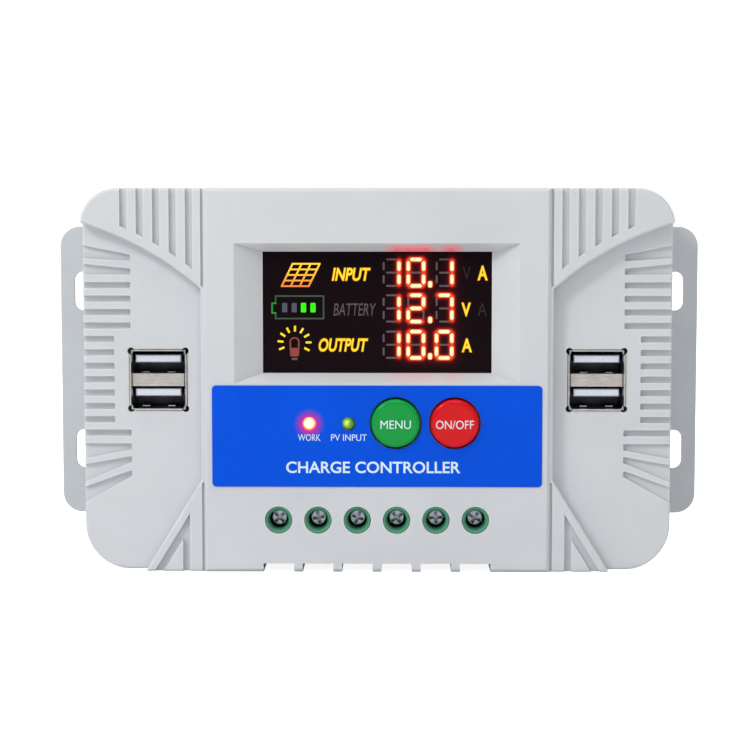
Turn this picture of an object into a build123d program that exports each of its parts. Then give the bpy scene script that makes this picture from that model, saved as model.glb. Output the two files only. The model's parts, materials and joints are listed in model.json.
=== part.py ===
"""Wall-mounted charge controller for a solar panel, a battery and a load, in millimetres.

The origin is the centre of the mounting plate's rear face, which lies on the wall. +X is to the
right as one faces the front, +Z is up, and the front faces -Y. "Depth" is the distance from the
wall towards the front. Every sketch is drawn as seen from the front, in (X, Z).
"""

import math
import os

from build123d import *

# Body outline
BODY_W, BODY_H = 142.4, 92.6
TOP_CORNER_R, BOTTOM_CORNER_R = 9.0, 11.0
WALL = 2.0
BEYOND = 60.0  # far enough to pass any edge of the body

# Depths, from the wall
PLATE_T = 1.5
COVER_FRONT = 4.0
BOARD_REAR, BOARD_FRONT = 11.4, 13.0
DISPLAY_BOARD_REAR, DISPLAY_BOARD_FRONT = 20.8, 22.0
WING_DEPTH = 30.3
BLOCK_DEPTH = 34.0
PANEL_DEPTH = 34.8
WING_INSIDE = WING_DEPTH - WALL
BLOCK_INSIDE = BLOCK_DEPTH - WALL
PANEL_INSIDE = PANEL_DEPTH - 2.2

# Front relief: raised middle, raised top corners and lowered wings
STEP_X = 42.4
PANEL_HALF_W = 41.7
CREASE_W, CREASE_DEEP = 0.6, 0.6
SWOOP_INNER, SWOOP_MIDDLE, SWOOP_OUTER = (42.4, 22.2), (57.0, 32.3), (71.2, 38.1)
DIAGONAL_TOP, DIAGONAL_BOTTOM = (42.4, -24.0), (55.8, -45.8)
EDGE_R = 0.6

# Vent grooves
GROOVE_DEEP = 1.0
GROOVE_H = 1.46
GROOVE_PITCH = 3.26
GROOVE_LONG_X, GROOVE_SHORT_X = 59.7, 63.7
GROOVE_FIRST_Z = 22.95
STRAIGHT_GROOVES = 12
SHORT_GROOVES = range(4, 11)
# Fan-shaped grooves: centre at the tip, then top and bottom at the body's side
FAN_GROOVES = [
    (29.6, 32.6, 29.5),
    (26.25, 28.1, 25.6),
    (-16.3, -15.5, -19.2),
    (-19.4, -20.7, -24.9),
    (-22.8, -26.2, -30.0),
]
SLOT_REAR, SLOT_FRONT, SLOT_BORDER = 11.0, 24.0, 1.5
SUNKEN = (SLOT_REAR - SLOT_BORDER, SLOT_FRONT + SLOT_BORDER)
CORNER_GROOVES = 5
CORNER_GROOVE_W, CORNER_GROOVE_PITCH, CORNER_GROOVE_FIRST_X = 1.65, 3.93, 45.1
CORNER_GROOVE_MARGIN = 2.5
V_GROOVE_DEEP = 1.2
V_OUTER, V_ISLAND = (45.3, -32.2), (46.95, -38.4)

# Display
RECESS_W, RECESS_H, RECESS_Z = 68.6, 33.6, 16.35
WINDOW_W, WINDOW_H = 55.4, 29.4
WINDOW_DEPTH = 29.9
FRAME_REAR = 29.4
MODULE_W, MODULE_H = 59.0, 31.6
FILM_T = 0.3

# Label, buttons and indicator lights
LABEL_W, LABEL_H, LABEL_Z, LABEL_T, LABEL_R = 79.4, 24.5, -13.2, 0.2, 1.0
CONTROL_Z = -10.0
BUTTON_XS = {"menu": 4.5, "power": 18.7}
BUTTON_HOLE_D, BUTTON_D, BUTTON_SKIRT_D = 12.6, 11.6, 13.8
BUTTON_FRONT = 36.2
BUTTON_SKIRT_FRONT, BUTTON_SKIRT_REAR = 32.4, 31.2
SWITCH_W, SWITCH_H = 6.0, 3.5
PLUNGER_D, PLUNGER_CLEARANCE = 3.4, 0.1
PLUNGER_REAR = 24.3
PLUNGER_SOCKET = 0.9
LED_XS = {"work": -16.3, "solar": -6.75}
LED_Z = -10.2
LED_D, LED_HOLE_D, LED_RIM_D = 3.0, 3.3, 3.8
LED_REAR, LED_FRONT = 30.2, 35.7

# USB sockets: each connector stacks two ports, one above the other
USB_X, USB_Z = 53.1, 0.0
USB_WINDOW_W, USB_WINDOW_H = 14.1, 14.9
USB_W, USB_H, USB_SHEET = 13.2, 14.5, 0.35
USB_LIP_W, USB_LIP_H, USB_LIP_LENGTH = 13.9, 14.7, 0.7
USB_PORT_PITCH, USB_PORT_H = 8.2, 5.12
USB_FRONT = 30.6
TONGUE_W, TONGUE_T, TONGUE_LIFT = 11.1, 1.84, 1.04
TONGUE_FRONT = 29.7
USB_CORE_FRONT = 20.5
USB_CONTACT_XS = (-3.5, -1.0, 1.0, 3.5)

# Terminals
POLES = 6
PITCH = 9.5
TERMINAL_Z = -33.6
TUBE_D, TUBE_BORE, TUBE_HOLE_D, TUBE_FRONT = 6.4, 4.6, 6.6, 34.6
BLOCK_TOP_Z, BLOCK_BOTTOM_Z = -24.9, -44.1
TERMINAL_FRONT = 31.0
SHOULDER_REAR, SHOULDER_FRONT = 25.6, 27.6
CHAMBER_W, CHAMBER_REAR = 7.5, 14.0
CHAMBER_BOTTOM_Z, CHAMBER_TOP_Z = -38.2, -26.0
ENTRY_W, ENTRY_REAR, ENTRY_FRONT = 6.3, 14.6, 21.0
NOTCH_W, NOTCH_TOP_Z, NOTCH_REAR = 7.4, -44.2, 12.6
SCREW_D, SCREW_HEAD_D, SCREW_HEAD_REAR, SCREW_HEAD_FRONT = 3.5, 4.2, 27.75, 30.0
BAR_REAR, BAR_FRONT, BAR_W, BAR_TAIL_Z = 19.1, 20.0, 4.8, -27.0
CLAMP_W, CLAMP_H, CLAMP_REAR, CLAMP_FRONT = 6.9, 8.2, 14.3, 22.4
CLAMP_FLOOR, CLAMP_TOP, CLAMP_SIDE = 1.2, 2.1, 0.8
SCREW_FIRST_ANGLE, SCREW_ANGLE_STEP = 12.0, 33.0

# Mounting plate
EAR_HALF_W, PLATE_H, PLATE_R = 81.2, 73.4, 5.0
EAR_SLOT_X, EAR_SLOT_Z, EAR_SLOT_W, EAR_SLOT_L = 75.5, 20.25, 4.4, 9.9

# Fasteners and posts
CASE_SCREW_XZ = (62.5, 31.5)
CASE_BOSS_D, CASE_SCREW_D = 7.0, 2.9
BOARD_SCREW_X, BOARD_SCREW_Z = 50.0, 39.0
DISPLAY_POST_X, DISPLAY_POST_Z = 37.6, (40.0, -17.6)
SPREADER_SCREW_X = 26.0

# Heat spreader and transistors, behind the main board
SPREADER_W, SPREADER_H, SPREADER_Z, SPREADER_FRONT = 60.0, 16.0, 24.0, 6.0
PAD_T = 0.3
MOSFET_XS = (-19.5, -6.5, 6.5, 19.5)
MOSFET_W, TAB_T, MOSFET_T = 10.0, 1.3, 4.2
TAB_HOLE_RISE = 4.6
MOSFET_BODY_H, TAB_H = 9.0, 6.0

# Other parts on the boards
HEADER_PINS, HEADER_Z, PIN_PITCH = 10, 38.5, 2.54
HEADER_XS = [(i - (HEADER_PINS - 1) / 2) * PIN_PITCH for i in range(HEADER_PINS)]
CAPACITOR_D = 12.5
CAPACITOR_XZS = [(-50.5, 24.0), (50.5, 24.0), (-36.5, -31.0)]
INDUCTOR_XZS = [(-53.5, -21.5), (53.5, -21.5)]
CORE_OUTER, CORE_INNER, CORE_T, WIRE_D, CORE_TURNS = 7.0, 3.8, 6.0, 1.0, 16

FRONT = Plane.XZ  # its normal points out of the front


def slab(sketch, rear, front):
    """A front-view sketch as a prism between two depths."""
    return extrude(FRONT.offset(rear) * sketch, amount=front - rear)


def box(x, z, width, height, rear, front):
    return slab(Pos(x, z) * Rectangle(width, height), rear, front)


def rod(x, z, diameter, rear, front):
    return slab(Pos(x, z) * Circle(diameter / 2), rear, front)


def cone(x, z, rear_d, front_d, rear, front):
    rear_disc = FRONT.offset(rear) * (Pos(x, z) * Circle(rear_d / 2))
    front_disc = FRONT.offset(front) * (Pos(x, z) * Circle(front_d / 2))
    return loft(Sketch() + [rear_disc, front_disc])


def taper(x, z, rear_size, front_size, rear, front):
    """A four-sided taper from one centred rectangle to another."""
    rear_face = FRONT.offset(rear) * (Pos(x, z) * Rectangle(*rear_size))
    front_face = FRONT.offset(front) * (Pos(x, z) * Rectangle(*front_size))
    return loft(Sketch() + [rear_face, front_face])


def both_sides(shape):
    return shape + mirror(shape, about=Plane.YZ)


def four_corners(x, z):
    return [(sx * x, sz * z) for sx in (-1, 1) for sz in (-1, 1)]


def joined(pieces):
    """All the pieces as one shape; those that touch are fused."""
    pieces = list(pieces)
    return pieces[0] + pieces[1:] if len(pieces) > 1 else pieces[0]


def group(pieces):
    """Separate solids kept as they are, in one node."""
    return Compound(children=[solid for piece in pieces for solid in piece.solids()])


def front_edges(part, depth):
    """The edges that lie flat at a depth."""
    return part.edges().filter_by_position(Axis.Y, -depth - 0.01, -depth + 0.01)


def circle_through(a, b, c):
    """Centre and radius of the circle through three points."""
    (ax, ay), (bx, by), (cx, cy) = a, b, c
    d = 2 * (ax * (by - cy) + bx * (cy - ay) + cx * (ay - by))
    a2, b2, c2 = ax**2 + ay**2, bx**2 + by**2, cx**2 + cy**2
    x = (a2 * (by - cy) + b2 * (cy - ay) + c2 * (ay - by)) / d
    y = (a2 * (cx - bx) + b2 * (ax - cx) + c2 * (bx - ax)) / d
    return (x, y), math.hypot(ax - x, ay - y)


SWOOP_CENTRE, SWOOP_R = circle_through(SWOOP_INNER, SWOOP_MIDDLE, SWOOP_OUTER)
DIAGONAL_SLOPE = (DIAGONAL_BOTTOM[0] - DIAGONAL_TOP[0]) / (DIAGONAL_TOP[1] - DIAGONAL_BOTTOM[1])
POLE_XS = [(i - (POLES - 1) / 2) * PITCH for i in range(POLES)]


def polygon(*points):
    return make_face(Polyline(*points, close=True))


def outline(inset=0.0):
    """The body's front outline, or a smaller one inside it."""
    shape = Rectangle(BODY_W - 2 * inset, BODY_H - 2 * inset)
    shape = fillet(shape.vertices().group_by(Axis.Y)[-1], TOP_CORNER_R - inset)
    return fillet(shape.vertices().group_by(Axis.Y)[0], BOTTOM_CORNER_R - inset)


def diagonal_x(start, z):
    """X at height z of the line that leaves start parallel to the lower ridge."""
    return start[0] + (start[1] - z) * DIAGONAL_SLOPE


def wing_region(grow=0.0):
    """The lowered area on the right, which runs off the body's side and foot."""
    low = -BEYOND
    area = polygon(
        (STEP_X - grow, BEYOND),
        (2 * BEYOND, BEYOND),
        (2 * BEYOND, low),
        (diagonal_x(DIAGONAL_TOP, low) - grow, low),
        (STEP_X - grow, DIAGONAL_TOP[1] + grow * 0.5),
    )
    return area & (Pos(*SWOOP_CENTRE) * Circle(SWOOP_R + grow))


def v_groove():
    """The V-shaped groove in the lower ridge, around a triangular island."""
    triangles = [
        polygon(apex, (apex[0], -BEYOND), (diagonal_x(apex, -BEYOND), -BEYOND))
        for apex in (V_OUTER, V_ISLAND)
    ]
    return triangles[0] - triangles[1]


def side_grooves():
    """Every groove of the right wing: (front sketch, top, bottom), with its ends at the side."""
    edge = BODY_W / 2
    made = []
    for i in range(STRAIGHT_GROOVES):
        z = GROOVE_FIRST_Z - i * GROOVE_PITCH
        tip = GROOVE_SHORT_X if i in SHORT_GROOVES else GROOVE_LONG_X
        made.append((tip, z, z + GROOVE_H / 2, z - GROOVE_H / 2))
    made += [(GROOVE_LONG_X, z, top, bottom) for z, top, bottom in FAN_GROOVES]
    grooves = []
    for tip, z, top, bottom in made:
        half = GROOVE_H / 2
        shape = polygon((tip, z + half), (edge, top), (edge, bottom), (tip, z - half))
        ends = shape.vertices().group_by(Axis.X)[0]
        grooves.append((fillet(ends, 0.3), top, bottom))
    return grooves


def cut_side_grooves(housing):
    """Shallow grooves in both wings, and behind each one a sunken vent through the side."""
    edge = BODY_W / 2
    for sketch, top, bottom in side_grooves():
        middle, tall = (top + bottom) / 2, top - bottom
        shallow = slab(sketch, WING_DEPTH - GROOVE_DEEP, BEYOND)
        sunken = box(edge, middle, 2 * GROOVE_DEEP, tall, *SUNKEN)
        through = box(edge, middle, 5 * WALL, tall - 0.3, SLOT_REAR, SLOT_FRONT)
        housing -= both_sides(shallow + sunken + through)
    return housing


def cut_corner_grooves(housing):
    """Upright grooves in both raised top corners, and behind each one a vent through the top."""
    end = Pos(*SWOOP_CENTRE) * Circle(SWOOP_R + CORNER_GROOVE_MARGIN)
    for i in range(CORNER_GROOVES):
        x = CORNER_GROOVE_FIRST_X + i * CORNER_GROOVE_PITCH
        strip = Pos(x, BODY_H / 2) * Rectangle(CORNER_GROOVE_W, BODY_H) - end
        shallow = slab(strip, BLOCK_DEPTH - GROOVE_DEEP, BEYOND)
        top = BODY_H / 2
        sunken = box(x, top, CORNER_GROOVE_W, 2 * GROOVE_DEEP, *SUNKEN)
        through = box(x, top, CORNER_GROOVE_W - 0.3, 5 * WALL, SLOT_REAR, SLOT_FRONT)
        housing -= both_sides(shallow + sunken + through)
    return housing


def creases():
    """The narrow grooves that set the raised panel off from the corners and lower ridges."""
    x = PANEL_HALF_W + CREASE_W / 2
    made = []
    for inner, outer in ((SWOOP_INNER[1], BODY_H), (DIAGONAL_TOP[1], -BODY_H)):
        start = inner + math.copysign(CREASE_W, outer)
        floor = BLOCK_DEPTH - CREASE_DEEP
        made.append(box(x, (start + outer) / 2, CREASE_W, abs(outer - start), floor, BEYOND))
    return both_sides(joined(made))


def housing_skin():
    """The outside of the front housing, solid: wings, raised corners and raised panel."""
    wings = slab(outline(), COVER_FRONT, WING_DEPTH)
    wings = fillet(front_edges(wings, WING_DEPTH), EDGE_R)
    wing = wing_region()
    raised = slab(outline() - wing - mirror(wing, about=Plane.YZ), WING_INSIDE, BLOCK_DEPTH)
    raised = fillet(front_edges(raised, BLOCK_DEPTH), EDGE_R)
    panel = box(0, 0, 2 * PANEL_HALF_W, BODY_H, WING_INSIDE, PANEL_DEPTH)
    panel = chamfer(front_edges(panel, PANEL_DEPTH), PANEL_DEPTH - BLOCK_DEPTH - 0.05)
    return wings + raised + panel


def housing_hollow():
    """The space inside the front housing."""
    wing = wing_region(grow=WALL)
    inner = outline(inset=WALL)
    low = slab(inner, 0, WING_INSIDE)
    corners = slab(inner - wing - mirror(wing, about=Plane.YZ), WING_INSIDE, BLOCK_INSIDE)
    middle = box(0, 0, 2 * (PANEL_HALF_W - WALL), BODY_H - 2 * WALL, WING_INSIDE, PANEL_INSIDE)
    return low + corners + middle


def display_frame():
    """The funnel-shaped wall of the display recess, and the hole through it."""
    grown = (RECESS_W + 2 * WALL, RECESS_H + 2 * WALL), (WINDOW_W + 2 * WALL, WINDOW_H + 2 * WALL)
    wall = taper(0, RECESS_Z, grown[1], grown[0], FRAME_REAR, PANEL_DEPTH - 0.5)
    funnel = taper(
        0, RECESS_Z, (WINDOW_W, WINDOW_H), (RECESS_W, RECESS_H), WINDOW_DEPTH, PANEL_DEPTH
    )
    window = box(0, RECESS_Z, WINDOW_W, WINDOW_H, FRAME_REAR - 1, WINDOW_DEPTH)
    return wall, funnel + window


def usb_window(x):
    """A socket window with small round reliefs at its corners."""
    shape = Rectangle(USB_WINDOW_W, USB_WINDOW_H)
    for cx, cz in four_corners(USB_WINDOW_W / 2 - 0.45, USB_WINDOW_H / 2 - 0.45):
        shape += Pos(cx, cz) * Circle(0.85)
    return slab(Pos(x, USB_Z) * shape, WING_INSIDE - 1, BEYOND)


def front_housing():
    frame_wall, frame_hole = display_frame()
    housing = housing_skin() - housing_hollow() + frame_wall - frame_hole
    for x, z in four_corners(*CASE_SCREW_XZ):
        housing += rod(x, z, CASE_BOSS_D, COVER_FRONT + 2.5, WING_INSIDE + 0.5)
        housing -= rod(x, z, CASE_SCREW_D + 0.1, 0, COVER_FRONT + 14)
    for sx in (-1, 1):
        for z in DISPLAY_POST_Z:
            housing += rod(sx * DISPLAY_POST_X, z, 4.6, DISPLAY_BOARD_FRONT, PANEL_INSIDE + 0.5)
            housing -= rod(sx * DISPLAY_POST_X, z, 1.9, 0, DISPLAY_BOARD_FRONT + 5)
    housing = cut_side_grooves(housing)
    housing = cut_corner_grooves(housing)
    housing -= both_sides(slab(v_groove(), BLOCK_DEPTH - V_GROOVE_DEEP, BEYOND))
    housing -= creases()
    for x in BUTTON_XS.values():
        housing -= rod(x, CONTROL_Z, BUTTON_HOLE_D, PANEL_INSIDE - 1, BEYOND)
    for x in LED_XS.values():
        housing -= rod(x, LED_Z, LED_HOLE_D, PANEL_INSIDE - 1, BEYOND)
    for sx in (-1, 1):
        housing -= usb_window(sx * USB_X)
    notch_tall = NOTCH_TOP_Z + BEYOND
    for x in POLE_XS:
        housing -= rod(x, TERMINAL_Z, TUBE_HOLE_D, PANEL_INSIDE - 1, BEYOND)
        middle = NOTCH_TOP_Z - notch_tall / 2
        housing -= box(x, middle, NOTCH_W, notch_tall, NOTCH_REAR, BEYOND)
    return housing


def rear_cover():
    """The flat rear shell: a lip locates it in the housing, and posts carry the main board."""
    cover = slab(outline(), PLATE_T, COVER_FRONT)
    lip_gap, lip_t = 0.2, 1.5
    outer, inner = outline(WALL + lip_gap), outline(WALL + lip_gap + lip_t)
    lip = slab(outer - inner, COVER_FRONT - 0.5, COVER_FRONT + 2.2)
    lip -= box(0, -BODY_H / 2, POLES * PITCH + 4, 12, COVER_FRONT, BEYOND)
    cover += lip
    for x, z in four_corners(BOARD_SCREW_X, BOARD_SCREW_Z):
        cover += rod(x, z, 6.0, COVER_FRONT - 0.5, BOARD_REAR)
        cover -= rod(x, z, 2.6, COVER_FRONT, BOARD_REAR)
    for x, z in four_corners(*CASE_SCREW_XZ):
        cover += rod(x, z, CASE_BOSS_D, COVER_FRONT - 0.5, COVER_FRONT + 2.3)
        cover -= rod(x, z, CASE_SCREW_D + 0.4, 0, BEYOND)
    cover -= box(0, SPREADER_Z, SPREADER_W + 1, SPREADER_H + 1, 0, BEYOND)
    return cover


def mounting_plate():
    """The metal sheet on the back, with two slots in each ear."""
    plate = slab(RectangleRounded(2 * EAR_HALF_W, PLATE_H, PLATE_R), 0, PLATE_T)
    plate = chamfer(front_edges(plate, PLATE_T), 0.2)
    slot = SlotOverall(EAR_SLOT_L, EAR_SLOT_W, rotation=90)
    for x, z in four_corners(EAR_SLOT_X, EAR_SLOT_Z):
        plate -= slab(Pos(x, z) * slot, -1, PLATE_T + 1)
    for x, z in four_corners(*CASE_SCREW_XZ):
        plate -= flat_head_seat(x, z, CASE_SCREW_D)
    for sx in (-1, 1):
        plate -= flat_head_seat(sx * SPREADER_SCREW_X, SPREADER_Z, 3.0)
    return plate


def flat_head_seat(x, z, diameter):
    """A countersunk hole in the mounting plate, open to the rear."""
    hole = rod(x, z, diameter + 0.4, -1, PLATE_T + 1)
    return hole + cone(x, z, diameter + 3.0, diameter + 0.4, -0.01, 1.3)


def flat_head_screw(x, z, diameter, length):
    """A countersunk screw driven from the rear, just below the plate's rear face."""
    head = cone(x, z, diameter + 2.6, diameter, 0.1, 1.35)
    shank = rod(x, z, diameter, 1.3, length)
    tip = cone(x, z, diameter, diameter * 0.6, length, length + 0.6)
    cross = box(x, z, 2.4, 0.6, 0, 1.0) + box(x, z, 0.6, 2.4, 0, 1.0)
    return head + shank + tip - cross


def pan_head_screw(x, z, diameter, head_d, head_rear, head_t, tip_depth):
    """A cross-headed screw driven from the front; its head's underside is at head_rear."""
    head = rod(x, z, head_d, head_rear, head_rear + head_t)
    head = fillet(front_edges(head, head_rear + head_t), head_t * 0.35)
    shank = rod(x, z, diameter, tip_depth, head_rear + 0.1)
    arm, wide = head_d * 0.58, head_d * 0.14
    floor = head_rear + head_t * 0.45
    top = head_rear + head_t
    return head + shank - box(x, z, arm, wide, floor, top) - box(x, z, wide, arm, floor, top)


def label_overlay():
    """The printed film on the raised panel."""
    film = Pos(0, LABEL_Z) * RectangleRounded(LABEL_W, LABEL_H, LABEL_R)
    for x in BUTTON_XS.values():
        film -= Pos(x, CONTROL_Z) * Circle(BUTTON_HOLE_D / 2)
    for x in LED_XS.values():
        film -= Pos(x, LED_Z) * Circle(LED_HOLE_D / 2)
    return slab(film, PANEL_DEPTH, PANEL_DEPTH + LABEL_T)


def button_cap(x):
    """A round cap with a rounded rim, a retaining skirt and a hollow stem."""
    cap = rod(x, CONTROL_Z, BUTTON_D, BUTTON_SKIRT_REAR, BUTTON_FRONT)
    cap = fillet(front_edges(cap, BUTTON_FRONT), 0.9)
    cap += rod(x, CONTROL_Z, BUTTON_SKIRT_D, BUTTON_SKIRT_REAR, BUTTON_SKIRT_FRONT)
    stem_rear = PLUNGER_REAR + 3.0 - PLUNGER_SOCKET
    hollow_front = BUTTON_FRONT - 1.6
    cap -= rod(x, CONTROL_Z, BUTTON_D - 2.4, BUTTON_SKIRT_REAR, hollow_front)
    cap += rod(x, CONTROL_Z, 5.0, stem_rear, hollow_front + 0.5)
    return cap - rod(x, CONTROL_Z, PLUNGER_D, 0, stem_rear + PLUNGER_SOCKET)


def switch_plunger(x):
    plunger = rod(x, CONTROL_Z, PLUNGER_D, PLUNGER_REAR, PLUNGER_REAR + 3.0)
    return chamfer(front_edges(plunger, PLUNGER_REAR), 0.3)


def switch_body(x):
    """The square moulded base of a push switch, with the plunger's bore and four legs."""
    rear, front = DISPLAY_BOARD_FRONT, DISPLAY_BOARD_FRONT + SWITCH_H - 0.3
    body = box(x, CONTROL_Z, SWITCH_W, SWITCH_W, rear, front)
    body -= rod(x, CONTROL_Z, PLUNGER_D + 2 * PLUNGER_CLEARANCE, rear + 1.2, front)
    return body


def switch_top(x):
    """The pressed steel plate that closes a switch, with its four legs."""
    rear = DISPLAY_BOARD_FRONT + SWITCH_H - 0.3
    plate = box(x, CONTROL_Z, SWITCH_W, SWITCH_W, rear, rear + 0.3)
    plate -= rod(x, CONTROL_Z, PLUNGER_D + 2 * PLUNGER_CLEARANCE, rear, rear + 0.3)
    for sx, sz in four_corners(1, 1):
        leg_x = x + sx * (SWITCH_W / 2 + 0.2)
        leg_z = CONTROL_Z + sz * 2.2
        plate += box(leg_x, leg_z, 0.4, 0.8, DISPLAY_BOARD_REAR - 1.0, rear + 0.3)
    return plate


def switch_dome(x):
    """The snap disc under a plunger."""
    rear = DISPLAY_BOARD_FRONT + 1.25
    return cone(x, CONTROL_Z, 3.3, 2.0, rear, rear + 0.25)


def indicator_led(x):
    """A round light: flanged base, straight body and a domed end."""
    r, rim = LED_D / 2, LED_RIM_D / 2
    rim_front, dome_rear = LED_REAR + 1.0, LED_FRONT - r
    side = Polyline((0, -LED_FRONT), (0, -LED_REAR), (rim, -LED_REAR), (rim, -rim_front),
                    (r, -rim_front), (r, -dome_rear))
    lean = r * math.sqrt(0.5)
    dome = ThreePointArc((r, -dome_rear), (lean, -dome_rear - lean), (0, -LED_FRONT))
    return Pos(x, 0, LED_Z) * revolve(make_face(side + dome), axis=Axis.Y)


def led_spacers():
    tubes = []
    for x in LED_XS.values():
        tube = rod(x, LED_Z, 4.2, DISPLAY_BOARD_FRONT, LED_REAR)
        tubes.append(tube - rod(x, LED_Z, 3.0, DISPLAY_BOARD_FRONT, LED_REAR))
    return group(tubes)


def led_leads():
    leads = []
    for x in LED_XS.values():
        for side in (-1.27, 1.27):
            leads.append(box(x + side * 0.8, LED_Z, 0.5, 0.5, DISPLAY_BOARD_REAR - 1, LED_REAR))
    return group(leads)


def display_module():
    """The reflector block behind the display's film."""
    rear, front = DISPLAY_BOARD_FRONT, FRAME_REAR - FILM_T
    block = box(0, RECESS_Z, MODULE_W, MODULE_H, rear, front)
    hollow = box(0, RECESS_Z, MODULE_W - 3, MODULE_H - 3, rear, rear + 1.5)
    return block - hollow


def display_film():
    return box(0, RECESS_Z, MODULE_W, MODULE_H, FRAME_REAR - FILM_T, FRAME_REAR)


def display_pins():
    pins = []
    for row in (-1, 1):
        for i in range(9):
            x = (i - 4) * PIN_PITCH
            z = RECESS_Z + row * (MODULE_H / 2 - 2.6)
            pins.append(box(x, z, 0.5, 0.5, DISPLAY_BOARD_REAR - 1.2, DISPLAY_BOARD_FRONT + 1.4))
    return group(pins)


def display_board():
    """The upper circuit board, with a hole for every lead that passes it."""
    board = slab(Pos(0, 11.2) * RectangleRounded(80.0, 62.6, 1.5),
                 DISPLAY_BOARD_REAR, DISPLAY_BOARD_FRONT)
    for sx in (-1, 1):
        for z in DISPLAY_POST_Z:
            board -= rod(sx * DISPLAY_POST_X, z, 2.2, 0, BEYOND)
    for piece in (display_pins(), led_leads(), header_pins()):
        for pin in piece.solids():
            middle = pin.center()
            board -= box(middle.X, middle.Z, 0.7, 0.7, 0, BEYOND)
    for x in BUTTON_XS.values():
        for sx, sz in four_corners(1, 1):
            leg_x = x + sx * (SWITCH_W / 2 + 0.2)
            board -= box(leg_x, CONTROL_Z + sz * 2.2, 0.6, 1.0, 0, BEYOND)
    return board


def display_board_screws():
    screws = []
    for sx in (-1, 1):
        for z in DISPLAY_POST_Z:
            x = sx * DISPLAY_POST_X
            head = rod(x, z, 3.6, DISPLAY_BOARD_REAR - 1.3, DISPLAY_BOARD_REAR)
            shank = rod(x, z, 1.8, DISPLAY_BOARD_REAR, DISPLAY_BOARD_FRONT + 4.5)
            cross = box(x, z, 2.0, 0.5, 0, DISPLAY_BOARD_REAR - 0.8)
            cross += box(x, z, 0.5, 2.0, 0, DISPLAY_BOARD_REAR - 0.8)
            screws.append(head + shank - cross)
    return group(screws)


def header_pins():
    return group(
        box(x, HEADER_Z, 0.6, 0.6, BOARD_REAR - 1.2, DISPLAY_BOARD_FRONT + 1.0) for x in HEADER_XS
    )


def header_part(rear, front, width):
    """A plastic strip round the header's pins."""
    strip = box(0, HEADER_Z, HEADER_PINS * PIN_PITCH, width, rear, front)
    for x in HEADER_XS:
        strip -= box(x, HEADER_Z, 0.7, 0.7, rear, front)
    return strip


def main_board():
    """The power board: corner cut-outs clear the case bosses, holes take screws and leads."""
    board = box(0, 0, 130.0, 86.0, BOARD_REAR, BOARD_FRONT)
    for x, z in four_corners(*CASE_SCREW_XZ):
        wide = 65.5 - CASE_SCREW_XZ[0] + CASE_BOSS_D / 2 + 0.8
        centre = math.copysign(65.5 - wide / 2, x)
        top = 43.5
        tall = top - CASE_SCREW_XZ[1] + CASE_BOSS_D / 2 + 0.8
        board -= box(centre, math.copysign(top - tall / 2, z), wide, tall, 0, BEYOND)
    for x, z in four_corners(BOARD_SCREW_X, BOARD_SCREW_Z):
        board -= rod(x, z, 3.3, 0, BEYOND)
    for piece in (header_pins(), usb_contact_tails(-USB_X), usb_contact_tails(USB_X),
                  mosfet_leads()):
        for pin in piece.solids():
            if pin.bounding_box().min.Y < -BOARD_REAR:
                middle = pin.center()
                board -= box(middle.X, middle.Z, 0.9, 0.9, 0, BEYOND)
    for x in POLE_XS:
        board -= box(x, BAR_TAIL_Z, 2.8, 1.4, 0, BEYOND)
    return board


def main_board_screws():
    return group(
        pan_head_screw(x, z, 2.5, 5.4, BOARD_FRONT, 1.7, COVER_FRONT + 1.5)
        for x, z in four_corners(BOARD_SCREW_X, BOARD_SCREW_Z)
    )


def terminal_module(x):
    """One pole of the terminal block: screw tube, clamp chamber and wire entry."""
    tall = BLOCK_TOP_Z - BLOCK_BOTTOM_Z
    body = box(x, (BLOCK_TOP_Z + BLOCK_BOTTOM_Z) / 2, PITCH - 0.06, tall,
               BOARD_FRONT, TERMINAL_FRONT)
    body += rod(x, TERMINAL_Z, TUBE_D, TERMINAL_FRONT - 1, TUBE_FRONT)
    body -= rod(x, TERMINAL_Z, TUBE_BORE, SHOULDER_FRONT, BEYOND)
    body -= cone(x, TERMINAL_Z, TUBE_BORE, TUBE_BORE + 1.2, TUBE_FRONT - 0.8, TUBE_FRONT)
    body -= rod(x, TERMINAL_Z, SCREW_D + 0.3, SHOULDER_REAR - 1, SHOULDER_FRONT)
    chamber_tall = CHAMBER_TOP_Z - CHAMBER_BOTTOM_Z
    body -= box(x, (CHAMBER_TOP_Z + CHAMBER_BOTTOM_Z) / 2, CHAMBER_W, chamber_tall,
                CHAMBER_REAR, SHOULDER_REAR)
    entry_middle = (ENTRY_REAR + ENTRY_FRONT) / 2
    entry = box(x, CHAMBER_BOTTOM_Z - 4, ENTRY_W, 12, ENTRY_REAR, ENTRY_FRONT)
    mouth = Plane((x, -entry_middle, BLOCK_BOTTOM_Z), x_dir=(1, 0, 0), z_dir=(0, 0, -1))
    wide, deep = ENTRY_W, ENTRY_FRONT - ENTRY_REAR
    funnel = loft(Sketch() + [
        mouth * Rectangle(wide + 1.2, deep + 1.4),
        mouth.offset(-1.2) * Rectangle(wide, deep),
    ])
    tail_slot = box(x, BAR_TAIL_Z, 2.8, 1.3, BOARD_FRONT, CHAMBER_REAR + 1)
    return body - entry - funnel - tail_slot


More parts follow.
